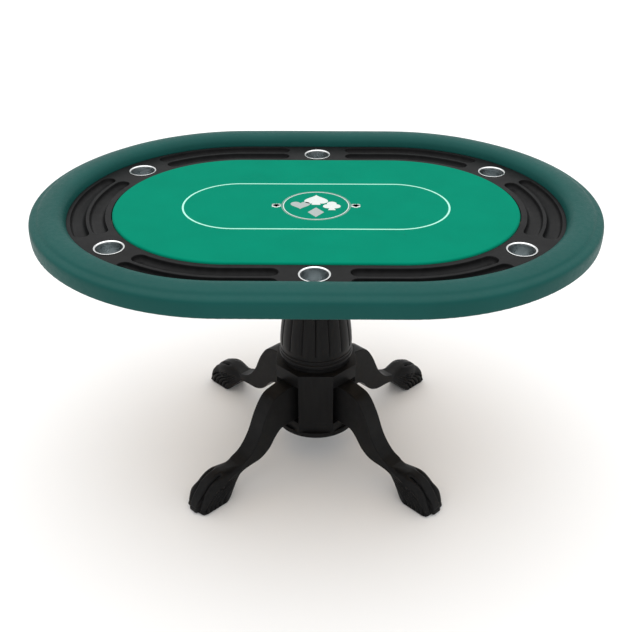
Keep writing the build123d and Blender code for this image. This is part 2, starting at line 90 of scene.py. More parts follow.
# Sizes read from the frame
RAIL_LOW, RAIL_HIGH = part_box("rail_cover")
CLOTH_LOW, CLOTH_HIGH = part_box("playing_cloth")
TRACK_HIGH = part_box("track_end_right")[1]
END_RADIUS = RAIL_HIGH.y
STRAIGHT_HALF = RAIL_HIGH.x - RAIL_HIGH.y
RAIL_TOP = RAIL_HIGH.z
RAIL_BOTTOM = RAIL_LOW.z
RAIL_INNER = TRACK_HIGH.x - STRAIGHT_HALF + 0.5 * MM
FELT_TOP = CLOTH_HIGH.z
DECK_TOP = CLOTH_LOW.z
PLAYING_RADIUS = CLOTH_HIGH.y
TRACK_TOP = TRACK_HIGH.z
TRACK_INNER = PLAYING_RADIUS + 2.0 * MM
TRACK_OUTER = TRACK_HIGH.x - STRAIGHT_HALF
PRINT_LOW = FELT_TOP + 0.05 * MM
PRINT_HIGH = FELT_TOP + 0.30 * MM
COLUMN_BORE = 9.0 * MM


# ---------------------------------------------------------------- mesh helpers


def new_piece(name, points, faces, materials, body="table", sharp=None):
    """A finished mesh piece that rides on a body, with its normals made consistent."""
    mesh = bpy.data.meshes.new(name)
    mesh.from_pydata([tuple(p) for p in points], [], faces)
    mesh.update()
    return finish_piece(name, mesh, materials, body, sharp)


def finish_piece(name, mesh, materials, body="table", sharp=None):
    """Merge, recalculate and shade a mesh, then hang it on its body."""
    work = bmesh.new()
    work.from_mesh(mesh)
    bmesh.ops.remove_doubles(work, verts=work.verts, dist=1e-6)
    bmesh.ops.recalc_face_normals(work, faces=work.faces)
    work.to_mesh(mesh)
    work.free()
    mesh.shade_smooth()
    if sharp is not None:
        mesh.set_sharp_from_angle(angle=math.radians(sharp))
    piece = bpy.data.objects.new(name, mesh)
    bpy.context.scene.collection.objects.link(piece)
    for material in materials:
        mesh.materials.append(material)
    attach(piece, body)
    return piece


def smooth_line(points, steps):
    """A Catmull-Rom line through the points, with the given steps in each span."""
    points = np.array(points, float)
    padded = np.vstack([2 * points[0] - points[1], points, 2 * points[-1] - points[-2]])
    line = []
    for i in range(len(points) - 1):
        a, b, c, d = padded[i : i + 4]
        for step in range(steps):
            t = step / steps
            line.append(
                0.5
                * (
                    2 * b
                    + (c - a) * t
                    + (2 * a - 5 * b + 4 * c - d) * t * t
                    + (3 * b - a - 3 * c + d) * t * t * t
                )
            )
    line.append(points[-1])
    return np.array(line)


def smoothstep(low, high, value):
    """0 below low, 1 above high, and a soft ramp between."""
    t = np.clip((np.asarray(value, float) - low) / (high - low), 0, 1)
    return t * t * (3 - 2 * t)


def stadium_frames(arc_steps=96, straight_steps=24):
    """Places round the stadium: the medial X, and the outward direction."""
    frames = []
    for side in (1, -1):
        for i in range(arc_steps):
            turn = math.pi * (i / arc_steps - 0.5)
            frames.append((side * STRAIGHT_HALF, side * math.cos(turn), side * math.sin(turn)))
        for i in range(straight_steps):
            x = side * STRAIGHT_HALF * (1 - 2 * i / straight_steps)
            frames.append((x, 0.0, side * 1.0))
    return frames


def grid_faces(rows, count, closed=True):
    """Quads between rows of points, the last row joined to the first. Closed joins each row's ends too."""
    faces = []
    for i in range(rows):
        j = (i + 1) % rows
        for k in range(count if closed else count - 1):
            m = (k + 1) % count
            faces.append((i * count + k, j * count + k, j * count + m, i * count + m))
    return faces


def stadium_sweep(section, frames, closed=True):
    """Points and faces of a section of (radius, height) carried round the stadium."""
    points = []
    for x, nx, ny in frames:
        points += [(x + nx * r, ny * r, z) for r, z in section]
    return points, grid_faces(len(frames), len(section), closed)


def stadium_ring_points(radius, height, frames):
    """One loop of the stadium at a radius and height."""
    return [(x + nx * radius, ny * radius, height) for x, nx, ny in frames]


def turned_mesh(section, steps=128):
    """Points and faces of a closed section of (radius, height) turned about an upright axis."""
    points = []
    for i in range(steps):
        turn = 2 * math.pi * i / steps
        c, s = math.cos(turn), math.sin(turn)
        points += [(r * c, r * s, z) for r, z in section]
    return points, grid_faces(steps, len(section))


def arc_points(centre, radius, start, end, steps):
    """Points on an arc, angles in degrees, in any flat plane."""
    line = []
    for i in range(steps + 1):
        turn = math.radians(start + (end - start) * i / steps)
        line.append((centre[0] + radius * math.cos(turn), centre[1] + radius * math.sin(turn)))
    return line


def eased_copy(node, name, width, materials, sharp=30.0):
    """A copy of a CAD node with its hard edges eased, which stands for that node."""
    source = frame["nodes"][node]
    mesh = source.data.copy()
    mesh.materials.clear()
    work = bmesh.new()
    work.from_mesh(mesh)
    bmesh.ops.remove_doubles(work, verts=work.verts, dist=2e-5)
    bmesh.ops.dissolve_limit(
        work, angle_limit=math.radians(1.0), verts=work.verts, edges=work.edges
    )
    hard = [e for e in work.edges if len(e.link_faces) == 2 and e.calc_face_angle(0) > 0.6]
    bmesh.ops.bevel(
        work,
        geom=hard,
        offset=width,
        segments=2,
        profile=0.6,
        affect="EDGES",
        clamp_overlap=True,
        loop_slide=True,
    )
    bmesh.ops.triangulate(work, faces=[f for f in work.faces if len(f.verts) > 4])
    work.to_mesh(mesh)
    work.free()
    mesh.name = name
    piece = finish_piece(name, mesh, materials, source["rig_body"], sharp)
    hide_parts(node)
    return piece


# ---------------------------------------------------------------- material helpers


class Finish:
    """A node material under construction."""

    def __init__(self, name, colour, roughness=0.5, specular=0.5, metallic=0.0):
        self.material = bpy.data.materials.new(name)
        self.material.use_nodes = True
        self.tree = self.material.node_tree
        self.shader = self.tree.nodes["Principled BSDF"]
        self.set("Base Color", (*colour, 1.0))
        self.set("Roughness", roughness)
        self.set("Specular IOR Level", specular)
        self.set("Metallic", metallic)
        self.coordinates = self.tree.nodes.new("ShaderNodeTexCoord").outputs["Object"]

    def set(self, socket, value):
        self.shader.inputs[socket].default_value = value

    def link(self, output, socket):
        self.tree.links.new(output, socket)

    def node(self, kind, **values):
        made = self.tree.nodes.new(kind)
        for key, value in values.items():
            setattr(made, key, value)
        return made

    def stretched(self, scale):
        """Object coordinates at a different scale along each axis."""
        mapping = self.node("ShaderNodeMapping")
        mapping.inputs["Scale"].default_value = scale
        self.link(self.coordinates, mapping.inputs["Vector"])
        return mapping.outputs["Vector"]

    def noise(self, scale, detail=3.0, roughness=0.5, vector=None):
        texture = self.node("ShaderNodeTexNoise")
        texture.inputs["Scale"].default_value = scale
        texture.inputs["Detail"].default_value = detail
        texture.inputs["Roughness"].default_value = roughness
        self.link(vector or self.coordinates, texture.inputs["Vector"])
        return texture.outputs["Fac"]

    def cells(self, scale):
        texture = self.node("ShaderNodeTexVoronoi", feature="DISTANCE_TO_EDGE")
        texture.inputs["Scale"].default_value = scale
        self.link(self.coordinates, texture.inputs["Vector"])
        return texture.outputs["Distance"]

    def wave(self, scale, direction, distortion):
        texture = self.node(
            "ShaderNodeTexWave", wave_type="BANDS", bands_direction=direction, wave_profile="SIN"
        )
        texture.inputs["Scale"].default_value = scale
        texture.inputs["Distortion"].default_value = distortion
        texture.inputs["Detail"].default_value = 2.0
        self.link(self.coordinates, texture.inputs["Vector"])
        return texture.outputs["Fac"]

    def weave(self):
        """Crossed threads of a fine cloth."""
        return self.math("MAXIMUM", self.wave(420.0, "X", 0.6), self.wave(420.0, "Y", 0.6))

    def math(self, operation, first, second):
        made = self.node("ShaderNodeMath", operation=operation)
        for socket, value in zip(made.inputs, (first, second)):
            if isinstance(value, (int, float)):
                socket.default_value = value
            else:
                self.link(value, socket)
        return made.outputs[0]

    def span(self, factor, low, high, from_low=0.3, from_high=0.7):
        """Map a grey value onto a range."""
        made = self.node("ShaderNodeMapRange")
        made.inputs["From Min"].default_value = from_low
        made.inputs["From Max"].default_value = from_high
        made.inputs["To Min"].default_value = low
        made.inputs["To Max"].default_value = high
        self.link(factor, made.inputs["Value"])
        return made.outputs["Result"]

    def mix(self, factor, first, second):
        made = self.node("ShaderNodeMix", data_type="RGBA")
        for key, value in (("Factor", factor), ("A", first), ("B", second)):
            socket = [s for s in made.inputs if s.name == key and s.enabled][0]
            if isinstance(value, (int, float)):
                socket.default_value = value
            elif isinstance(value, tuple):
                socket.default_value = value if len(value) == 4 else (*value, 1.0)
            else:
                self.link(value, socket)
        return [s for s in made.outputs if s.enabled][0]

    def bumps(self, *layers):
        """Stack bump layers of (height, distance in metres, strength)."""
        previous = None
        for height, distance, strength in layers:
            bump = self.node("ShaderNodeBump")
            bump.inputs["Distance"].default_value = distance
            bump.inputs["Strength"].default_value = strength
            self.link(height, bump.inputs["Height"])
            if previous is not None:
                self.link(previous, bump.inputs["Normal"])
            previous = bump.outputs["Normal"]
        self.link(previous, self.shader.inputs["Normal"])

    def colour(self, output):
        self.link(output, self.shader.inputs["Base Color"])

    def roughness(self, output):
        self.link(output, self.shader.inputs["Roughness"])


def tint(colour, factor):
    """A colour made lighter or darker."""
    return tuple(min(1.0, c * factor) for c in colour)


def once(make):
    """Build a finish the first time it is asked for, and hand back the same one after."""
    made = {}

    def get(*values):
        if values not in made:
            made[values] = make(*values)
        return made[values]

    return get


@once
def rail_vinyl(colour):
    """Dark green vinyl with a fine pebbled grain."""
    finish = Finish("rail_vinyl", colour, roughness=0.46, specular=0.12)
    pebbles = finish.cells(620.0)
    creases = finish.noise(90.0, detail=4.0, roughness=0.6)
    broad = finish.noise(5.0, detail=2.0)
    shade = finish.mix(finish.span(broad, 0.0, 1.0), tint(colour, 0.93), tint(colour, 1.07))
    # the valleys between the pebbles are painted darker: painted shade in the grain's creases
    pebble_valley_shade = finish.mix(finish.span(pebbles, 0.35, 0.0, 0.0, 0.12), shade, tint(colour, 0.72))
    finish.colour(pebble_valley_shade)
    finish.roughness(finish.span(creases, 0.4, 0.54))
    finish.bumps((pebbles, 0.0003, 0.55), (creases, 0.0004, 0.25))
    return finish.material


@once
def green_cloth(colour):
    """Short napped playing cloth with a fine weave under it."""
    finish = Finish("playing_cloth", colour, roughness=0.92, specular=0.015)
    weave = finish.weave()
    fibre = finish.noise(1500.0, detail=2.0, roughness=0.7)
    nap = finish.noise(9.0, detail=3.0, roughness=0.55)
    brushed = finish.mix(finish.span(nap, 0.0, 1.0), tint(colour, 0.95), tint(colour, 1.05))
    fuzzed = finish.mix(finish.span(fibre, 0.0, 0.3), brushed, tint(colour, 0.8))
    finish.colour(fuzzed)
    finish.set("Sheen Weight", 0.02)
    finish.set("Sheen Roughness", 0.5)
    finish.set("Sheen Tint", (0.6, 1.0, 0.85, 1.0))
    finish.bumps((weave, 0.00018, 0.5), (fibre, 0.00025, 0.5))
    return finish.material


@once
def printed_ink(name, colour):
    """Ink printed on the cloth: the weave still shows through it."""
    finish = Finish(name, colour, roughness=0.8, specular=0.15)
    fibre = finish.noise(1500.0, detail=2.0, roughness=0.7)
    patch = finish.noise(160.0, detail=3.0)
    finish.colour(finish.mix(finish.span(patch, 0.0, 0.22), colour, tint(colour, 0.72)))
    finish.bumps((finish.weave(), 0.00018, 0.5), (fibre, 0.0002, 0.4))
    return finish.material


@once
def black_lacquer(name, colour, roughness, specular, grain_scale):
    """Satin black lacquer, with the wood's grain just showing along the given scale."""
    finish = Finish(name, colour, roughness=roughness, specular=specular)
    grain = finish.noise(1.0, detail=5.0, roughness=0.6, vector=finish.stretched(grain_scale))
    peel = finish.noise(260.0, detail=2.0)
    patch = finish.noise(14.0, detail=3.0)
    finish.colour(finish.mix(finish.span(grain, 0.0, 1.0), tint(colour, 0.8), tint(colour, 1.3)))
    finish.roughness(finish.span(patch, roughness - 0.05, roughness + 0.07))
    finish.bumps((grain, 0.0004, 0.22), (peel, 0.00015, 0.2))
    return finish.material


@once
def plywood():
    """Sanded birch plywood: long grain on the faces and plies on the edges."""
    colour = (0.56, 0.40, 0.23)
    finish = Finish("plywood", colour, roughness=0.68, specular=0.25)
    grain = finish.noise(1.0, detail=6.0, roughness=0.62, vector=finish.stretched((14, 170, 170)))
    plies = finish.wave(115.0, "Z", 0.3)
    faces = finish.mix(finish.span(grain, 0.0, 1.0), tint(colour, 0.82), tint(colour, 1.12))
    banded = finish.mix(finish.span(plies, 0.0, 0.3, 0.6, 0.9), faces, tint(colour, 0.5))
    finish.colour(banded)
    finish.bumps((grain, 0.0003, 0.3))
    return finish.material


@once
def brushed_steel():
    """Stainless steel spun on a lathe: fine rings round the wall."""
    finish = Finish("brushed_steel", (0.50, 0.53, 0.54), roughness=0.32, metallic=1.0)
    rings = finish.noise(1.0, detail=4.0, roughness=0.7, vector=finish.stretched((40, 40, 2600)))
    smears = finish.noise(55.0, detail=3.0)
    finish.roughness(finish.span(finish.math("MULTIPLY", rings, smears), 0.26, 0.42, 0.15, 0.4))
    finish.colour(finish.mix(finish.span(smears, 0.0, 1.0), (0.42, 0.46, 0.47), (0.55, 0.58, 0.59)))
    finish.bumps((rings, 0.00006, 0.25))
    return finish.material


@once
def polished_steel():
    """The cup's bright rolled lip."""
    finish = Finish("polished_steel", (0.78, 0.79, 0.79), roughness=0.12, metallic=1.0)
    smears = finish.noise(120.0, detail=3.0)
    finish.roughness(finish.span(smears, 0.08, 0.2))
    finish.bumps((finish.noise(900.0, detail=1.0), 0.00002, 0.2))
    return finish.material


@once
def zinc_steel():
    """Zinc-plated fasteners, slightly cloudy."""
    finish = Finish("zinc_steel", (0.52, 0.53, 0.52), roughness=0.38, metallic=1.0)
    cloud = finish.noise(220.0, detail=4.0)
    finish.colour(finish.mix(finish.span(cloud, 0.0, 1.0), (0.42, 0.43, 0.41), (0.58, 0.59, 0.58)))
    finish.roughness(finish.span(cloud, 0.3, 0.5))
    finish.bumps((cloud, 0.00005, 0.3))
    return finish.material


@once
def glide_plastic():
    """Moulded black plastic."""
    finish = Finish("glide_plastic", (0.012, 0.012, 0.012), roughness=0.55, specular=0.3)
    grain = finish.noise(900.0, detail=2.0)
    finish.roughness(finish.span(grain, 0.48, 0.62))
    finish.bumps((grain, 0.0001, 0.3))
    return finish.material


@once
def pad_foam():
    """Cream open-cell foam."""
    finish = Finish("pad_foam", (0.72, 0.68, 0.55), roughness=0.95, specular=0.1)
    cells = finish.cells(900.0)
    # the low edges between the cells are painted darker: painted shade in the foam's pores
    finish.colour(finish.mix(finish.span(cells, 0.4, 0.0, 0.0, 0.2), (0.72, 0.68, 0.55), (0.45, 0.41, 0.3)))
    finish.bumps((cells, 0.0004, 0.6))
    return finish.material


# ---------------------------------------------------------------- geometry node helpers


def repeat_tree(name, template, material, setting, default):
    """A tree with one number to set, whose template is stood on points, made real and painted."""
    tree = bpy.data.node_groups.new(name, "GeometryNodeTree")
    face = tree.interface
    face.new_socket("Geometry", in_out="INPUT", socket_type="NodeSocketGeometry")
    number = face.new_socket(setting, in_out="INPUT", socket_type="NodeSocketFloat")
    number.default_value = default
    face.new_socket("Geometry", in_out="OUTPUT", socket_type="NodeSocketGeometry")
    nodes = tree.nodes
    link = tree.links.new
    source = nodes.new("NodeGroupInput")
    target = nodes.new("NodeGroupOutput")
    item = nodes.new("GeometryNodeObjectInfo")
    item.inputs["Object"].default_value = template
    stand = nodes.new("GeometryNodeInstanceOnPoints")
    real = nodes.new("GeometryNodeRealizeInstances")
    paint = nodes.new("GeometryNodeSetMaterial")
    paint.inputs["Material"].default_value = material
    link(item.outputs["Geometry"], stand.inputs["Instance"])
    link(stand.outputs["Instances"], real.inputs["Geometry"])
    link(real.outputs["Geometry"], paint.inputs["Geometry"])
    link(paint.outputs["Geometry"], target.inputs["Geometry"])
    return tree, source, stand


def scatter_tree(name, template, material):
    """A tree that stands the template on every point, turned by the point's own angle."""
    tree, source, stand = repeat_tree(name, template, material, "Size", 1.0)
    link = tree.links.new
    turn = tree.nodes.new("GeometryNodeInputNamedAttribute")
    turn.data_type = "FLOAT_VECTOR"
    turn.inputs["Name"].default_value = "turn"
    link(source.outputs["Geometry"], stand.inputs["Points"])
    link(turn.outputs["Attribute"], stand.inputs["Rotation"])
    link(source.outputs["Size"], stand.inputs["Scale"])
    return tree


def follow_tree(name, template, material):
    """A tree that lays the template along a curve at an even spacing, in line with it."""
    tree, source, stand = repeat_tree(name, template, material, "Spacing", 0.025)
    nodes = tree.nodes
    link = tree.links.new
    line = nodes.new("GeometryNodeMeshToCurve")
    even = nodes.new("GeometryNodeResampleCurve")
    even.mode = "LENGTH"
    tangent = nodes.new("GeometryNodeInputTangent")
    align = nodes.new("FunctionNodeAlignRotationToVector")
    align.axis = "X"
    link(source.outputs["Geometry"], line.inputs["Mesh"])
    link(line.outputs["Curve"], even.inputs["Curve"])
    link(source.outputs["Spacing"], even.inputs["Length"])
    link(tangent.outputs["Tangent"], align.inputs["Vector"])
    link(even.outputs["Curve"], stand.inputs["Points"])
    link(align.outputs["Rotation"], stand.inputs["Rotation"])
    return tree


def set_inputs(modifier, **values):
    """Set a tree's inputs by the names of their sockets."""
    for item in modifier.node_group.interface.items_tree:
        if item.in_out == "INPUT" and item.name in values:
            modifier[item.identifier] = values[item.name]


def bake_tree(name, carrier, tree, body, slot, **inputs):
    """Run a tree on a carrier mesh and keep its result as a plain piece."""
    holder = bpy.data.objects.new(name + "_carrier", carrier)
    bpy.context.scene.collection.objects.link(holder)
    modifier = holder.modifiers.new("Nodes", "NODES")
    modifier.node_group = tree
    set_inputs(modifier, **inputs)
    graph = bpy.context.evaluated_depsgraph_get()
    graph.update()
    mesh = bpy.data.meshes.new_from_object(holder.evaluated_get(graph), depsgraph=graph)
    bpy.data.objects.remove(holder)
    mesh.name = name
    return finish_piece(name, mesh, [], body, sharp=35)


def hidden_template(name, points, faces):
    """A small part to be repeated: removed again once its copies are real."""
    mesh = bpy.data.meshes.new(name)
    mesh.from_pydata([tuple(p) for p in points], [], faces)
    mesh.update()
    template = bpy.data.objects.new(name, mesh)
    bpy.context.scene.collection.objects.link(template)
    return template


def point_cloud(name, places, turns):
    """A mesh of loose points that carry a turn each."""
    mesh = bpy.data.meshes.new(name)
    mesh.from_pydata([tuple(p) for p in places], [], [])
    turn = mesh.attributes.new("turn", "FLOAT_VECTOR", "POINT")
    turn.data.foreach_set("vector", np.array(turns, np.float32).ravel())
    return mesh


def islands(node):
    """Box of each separate solid in a CAD node."""
    work = bmesh.new()
    work.from_mesh(frame["nodes"][node].data)
    bmesh.ops.remove_doubles(work, verts=work.verts, dist=1e-6)
    left = set(work.verts)
    boxes = []
    while left:
        found = {left.pop()}
        edge = list(found)
        while edge:
            vert = edge.pop()
            for link in vert.link_edges:
                other = link.other_vert(vert)
                if other not in found:
                    found.add(other)
                    edge.append(other)
        left -= found
        corners = np.array([v.co for v in found])
        boxes.append((corners.min(0), corners.max(0)))
    work.free()
    return sorted(boxes, key=lambda b: tuple(np.round(b[0], 4)))


# ---------------------------------------------------------------- settings


class PokerTableTop(bpy.types.PropertyGroup):
    """Sizes and colours of the top."""

    vinyl_colour: bpy.props.FloatVectorProperty(
        name="Rail colour",
        description="Colour of the vinyl on the padded rail",
        subtype="COLOR",
        default=(0.004, 0.066, 0.058),
    )
    cloth_colour: bpy.props.FloatVectorProperty(
        name="Cloth colour",
        description="Colour of the playing cloth",
        subtype="COLOR",
        default=(0.0005, 0.205, 0.125),
    )
    ink_colour: bpy.props.FloatVectorProperty(
        name="Line colour",
        description="Colour of the printed line",
        subtype="COLOR",
        default=(0.40, 0.80, 0.66),
    )
    track_colour: bpy.props.FloatVectorProperty(
        name="Track colour",
        description="Colour of the racetrack's lacquer",
        subtype="COLOR",
        default=(0.0085, 0.0085, 0.0088),
    )
    line_radius: bpy.props.FloatProperty(
        name="Line radius",
        description="Radius of the printed line's round ends",
        default=0.145,
        unit="LENGTH",
    )
    line_width: bpy.props.FloatProperty(
        name="Line width", description="Width of the printed line", default=0.0048, unit="LENGTH"
    )
    trough_width: bpy.props.FloatProperty(
        name="Trough width", description="Width of a chip trough", default=0.0395, unit="LENGTH"
    )
    trough_depth: bpy.props.FloatProperty(
        name="Trough depth", description="Depth of a chip trough", default=0.015, unit="LENGTH"
    )
    cloth_roll: bpy.props.FloatProperty(
        name="Cloth roll",
        description="Radius of the cloth's rolled edge",
        default=0.006,
        unit="LENGTH",
    )


class PokerTablePedestal(bpy.types.PropertyGroup):
    """Sizes and colours of the pedestal."""

    lacquer_colour: bpy.props.FloatVectorProperty(
        name="Lacquer colour",
        description="Colour of the pedestal's lacquer",
        subtype="COLOR",
        default=(0.0065, 0.0065, 0.0067),
    )
    flute_count: bpy.props.IntProperty(
        name="Staves", description="Number of staves round the column", default=16, min=3
    )
    flute_depth: bpy.props.FloatProperty(
        name="Groove depth",
        description="Depth of the groove between two staves",
        default=0.0030,
        unit="LENGTH",
    )
    toe_grooves: bpy.props.IntProperty(
        name="Toe grooves", description="Carved grooves on each side of a paw", default=5, min=1
    )
    toe_depth: bpy.props.FloatProperty(
        name="Toe groove depth",
        description="Depth of the carved grooves",
        default=0.0062,
        unit="LENGTH",
    )


class PokerTableStage(bpy.types.PropertyGroup):
    """Floor, light and camera."""

    floor_size: bpy.props.FloatProperty(
        name="Floor size", description="Side of the floor", default=60.0, unit="LENGTH"
    )
    sky_strength: bpy.props.FloatProperty(
        name="Sky", description="Strength of the even light from all round", default=0.92
    )
    lamp_power: bpy.props.FloatProperty(
        name="Overhead lamp", description="Power of the overhead soft light in watts", default=770.0
    )
    lamp_size: bpy.props.FloatProperty(
        name="Lamp size", description="Side of the overhead soft light", default=14.0, unit="LENGTH"
    )
    lamp_place: bpy.props.FloatVectorProperty(
        name="Lamp place",
        description="Where the overhead soft light hangs",
        subtype="TRANSLATION",
        default=(0.0, 1.5, 9.0),
    )
    camera_place: bpy.props.FloatVectorProperty(
        name="Camera place",
        description="Where the camera stands",
        subtype="TRANSLATION",
        default=(0.0223, -2.2987, 1.8137),
    )
    camera_pitch: bpy.props.FloatProperty(
        name="Camera pitch",
        description="How far the camera looks down",
        subtype="ANGLE",
        default=math.radians(30.93),
    )
    camera_yaw: bpy.props.FloatProperty(
        name="Camera yaw",
        description="How far the camera turns to its left",
        subtype="ANGLE",
        default=math.radians(0.56),
    )
    lens: bpy.props.FloatProperty(
        name="Lens", description="Focal length in millimetres on a 36 mm sensor", default=53.45
    )


# ---------------------------------------------------------------- the top

COVER_THICKNESS = 2.0 * MM
SKIRT_INNER = 514.0 * MM


def rail_section():
    """Closed section of the vinyl cover: over the padding, down the side and tucked under."""
    inner, outer, top, low = RAIL_INNER, END_RADIUS, RAIL_TOP, RAIL_BOTTOM
    shape = [
        (inner, DECK_TOP),
        (inner, TRACK_TOP - 3 * MM),
        (inner + 0.6 * MM, TRACK_TOP + 5 * MM),
        (inner + 5.5 * MM, TRACK_TOP + 18 * MM),
        (inner + 18 * MM, top - 3 * MM),
        (inner + 38 * MM, top),
        (inner + 62 * MM, top - 3.6 * MM),
        (outer - 20 * MM, top - 9.5 * MM),
        (outer - 9 * MM, top - 12.8 * MM),
        (outer - 4 * MM, top - 15.6 * MM),
        (outer - 1.2 * MM, top - 20 * MM),
        (outer, top - 30 * MM),
        (outer - 0.5 * MM, low + 7 * MM),
        (outer - 2.4 * MM, low + 1.6 * MM),
        (outer - 7 * MM, low),
        (SKIRT_INNER, low),
    ]
    line = smooth_line(shape, 5)
    ahead = np.gradient(line, axis=0)
    ahead /= np.linalg.norm(ahead, axis=1)[:, None]
    inward = np.stack([ahead[:, 1], -ahead[:, 0]], axis=1)
    lining = line + inward * COVER_THICKNESS
    return np.vstack([line, lining[::-1]]), len(line)


def build_rail(settings):
    """The padded rail under its stretched vinyl."""
    section, skin = rail_section()
    frames = stadium_frames(150, 44)
    points, faces = stadium_sweep(section, frames)
    points = np.array(points).reshape(len(frames), len(section), 3)
    outward = np.array([(nx, ny) for _, nx, ny in frames])
    along = np.linspace(0, 2 * np.pi, len(frames), endpoint=False)
    # the foam lies a little unevenly, and the pulled edge puckers between its staples
    unevenness, pucker_count = 0.35 * MM, 161
    swell = unevenness * (np.sin(9 * along + 0.7) + 0.6 * np.sin(17 * along + 2.1))
    pucker = unevenness * np.sin(pucker_count * along) * (0.6 + 0.4 * np.sin(7 * along))
    for k in range(skin):
        height = section[k][1]
        crest = float(smoothstep(TRACK_TOP + 15 * MM, RAIL_TOP, height))
        hem = float(1 - smoothstep(RAIL_BOTTOM + 2 * MM, RAIL_BOTTOM + 16 * MM, height))
        hem *= float(section[k][0] > END_RADIUS - 20 * MM)
        points[:, k, 2] += np.minimum(swell, 0.2 * MM) * crest
        points[:, k, :2] -= outward * ((pucker + 0.4 * MM) * hem)[:, None]
    rail = new_piece(
        "rail_cushion",
        points.reshape(-1, 3),
        faces,
        [rail_vinyl(tuple(settings.vinyl_colour))],
        sharp=50,
    )
    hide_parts("rail_cover", "rail_foam")


def build_cloth(settings):
    """The playing cloth, stretched over its padded board with a rolled edge."""
    roll = settings.cloth_roll
    thick = 1.2 * MM
    edge = PLAYING_RADIUS
    bend = (edge - roll, FELT_TOP - roll)
    outline = [(edge, DECK_TOP + 1 * MM), (edge, FELT_TOP - roll)]
    outline += arc_points(bend, roll, 15, 90, 5)
    outline += [(edge - 0.012, FELT_TOP), (edge - 0.03, FELT_TOP)]
    frames = stadium_frames(96, 30)
    inner = [(r - thick, z) for r, z in outline[:2]]
    inner += arc_points(bend, roll - thick, 15, 90, 5)
    inner += [(r, z - thick) for r, z in outline[-2:]]
    section = inner[::-1] + outline
    points, faces = stadium_sweep(section, frames, closed=False)
    count = len(section)
    total = len(frames)
    # rings that close the middle, each on the same stadium outline
    middle = [0.25, 0.2, 0.15, 0.1, 0.05, 0.0]
    for face_height, start in ((FELT_TOP, count - 1), (FELT_TOP - thick, 0)):
        previous = [i * count + start for i in range(total)]
        for radius in middle:
            base = len(points)
            points += stadium_ring_points(radius, face_height, frames)
            ring = [base + i for i in range(total)]
            for i in range(total):
                j = (i + 1) % total
                faces.append((previous[i], previous[j], ring[j], ring[i]))
            previous = ring
    cloth = new_piece(
        "playing_cloth_sheet",
        points,
        faces,
        [green_cloth(tuple(settings.cloth_colour))],
        sharp=60,
    )
    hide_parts("playing_cloth")


def build_pad():
    """The foam between the playing board and its cloth."""
    low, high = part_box("playing_foam")
    edge = high.y - 0.6 * MM
    top = high.z - 0.4 * MM
    roll = 3.5 * MM
    section = [(0.0, low.z), (edge, low.z)]
    section += arc_points((edge - roll, top - roll), roll, 0, 90, 6)
    section += [(0.0, top)]
    frames = stadium_frames(64, 12)
    points, faces = stadium_sweep(section, frames, closed=False)
    pad = new_piece("playing_pad", points, faces, [pad_foam()], sharp=60)
    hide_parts("playing_foam")


def build_line(settings):
    """The betting line printed on the cloth."""
    half = settings.line_width / 2
    radius = settings.line_radius
    low, high = PRINT_LOW, PRINT_HIGH
    section = [(radius - half, low), (radius - half, high), (radius + half, high), (radius + half, low)]
    points, faces = stadium_sweep(section, stadium_frames(64, 12))
    new_piece(
        "betting_line",
        points,
        faces,
        [printed_ink("line_ink", tuple(settings.ink_colour))],
        sharp=40,
    )


def star_outline(reach, steps=144):
    """Outline of a shape that is seen whole from its centre, from its reach at each angle."""
    line = []
    for i in range(steps):
        turn = 2 * math.pi * (i + 0.5) / steps
        distance = reach(turn)
        line.append((distance * math.cos(turn), distance * math.sin(turn)))
    return line


def heart_reach(turn, flip=1.0):
    """Reach of a heart of about unit size, upright or turned over."""
    samples = []
    for i in range(240):
        t = 2 * math.pi * i / 240
        x = 16 * math.sin(t) ** 3
        y = 13 * math.cos(t) - 5 * math.cos(2 * t) - 2 * math.cos(3 * t) - math.cos(4 * t)
        samples.append((x / 17.0, flip * (y + 2.0) / 17.0))

    def off(point):
        gap = math.atan2(point[1], point[0]) - turn
        return abs((gap + math.pi) % (2 * math.pi) - math.pi)

    best = min(samples, key=off)
    return math.hypot(*best)


def stem_reach(turn):
    """Reach of a flared stem below the centre."""
    drop, flare = 1.05, 0.36
    down = -math.sin(turn)
    if down <= 0 or abs(math.cos(turn) / down) > flare:
        return 0.0
    return drop / down


def spade_reach(turn):
    """Reach of a heart turned over, on a stem."""
    return max(heart_reach(turn, -1.0), stem_reach(turn))


def club_reach(turn):
    """Reach of three lobes round the centre, on a stem."""
    best = stem_reach(turn)
    away, radius = 0.42, 0.46
    for lobe in (90.0, 205.0, 335.0):
        gap = turn - math.radians(lobe)
        across = away * math.sin(gap)
        if abs(across) < radius:
            best = max(best, away * math.cos(gap) + math.sqrt(radius**2 - across**2))
    return best


def diamond_reach(turn):
    """Reach of a tall diamond with straight sides."""
    half_wide = 0.72
    return 1.0 / (abs(math.cos(turn)) / half_wide + abs(math.sin(turn)))


SUITS = {"heart": heart_reach, "spade": spade_reach, "club": club_reach, "diamond": diamond_reach}


def plate(outline, low, high, points, faces):
    """Add a thin flat plate with the given outline."""
    base = len(points)
    count = len(outline)
    points += [(x, y, high) for x, y in outline]
    points += [(x, y, low) for x, y in outline]
    for a, b, c in tessellate_polygon([[Vector((x, y, 0)) for x, y in outline]]):
        faces.append((base + a, base + b, base + c))
        faces.append((base + count + c, base + count + b, base + count + a))
    for i in range(count):
        j = (i + 1) % count
        faces.append((base + i, base + j, base + count + j, base + count + i))


def ring_plate(inner, outer, low, high, points, faces, steps=128):
    """Add a thin flat ring about the middle of the cloth."""
    section = [(inner, low), (inner, high), (outer, high), (outer, low)]
    more, walls = turned_mesh(section, steps)
    base = len(points)
    points += more
    faces += [tuple(base + i for i in face) for face in walls]


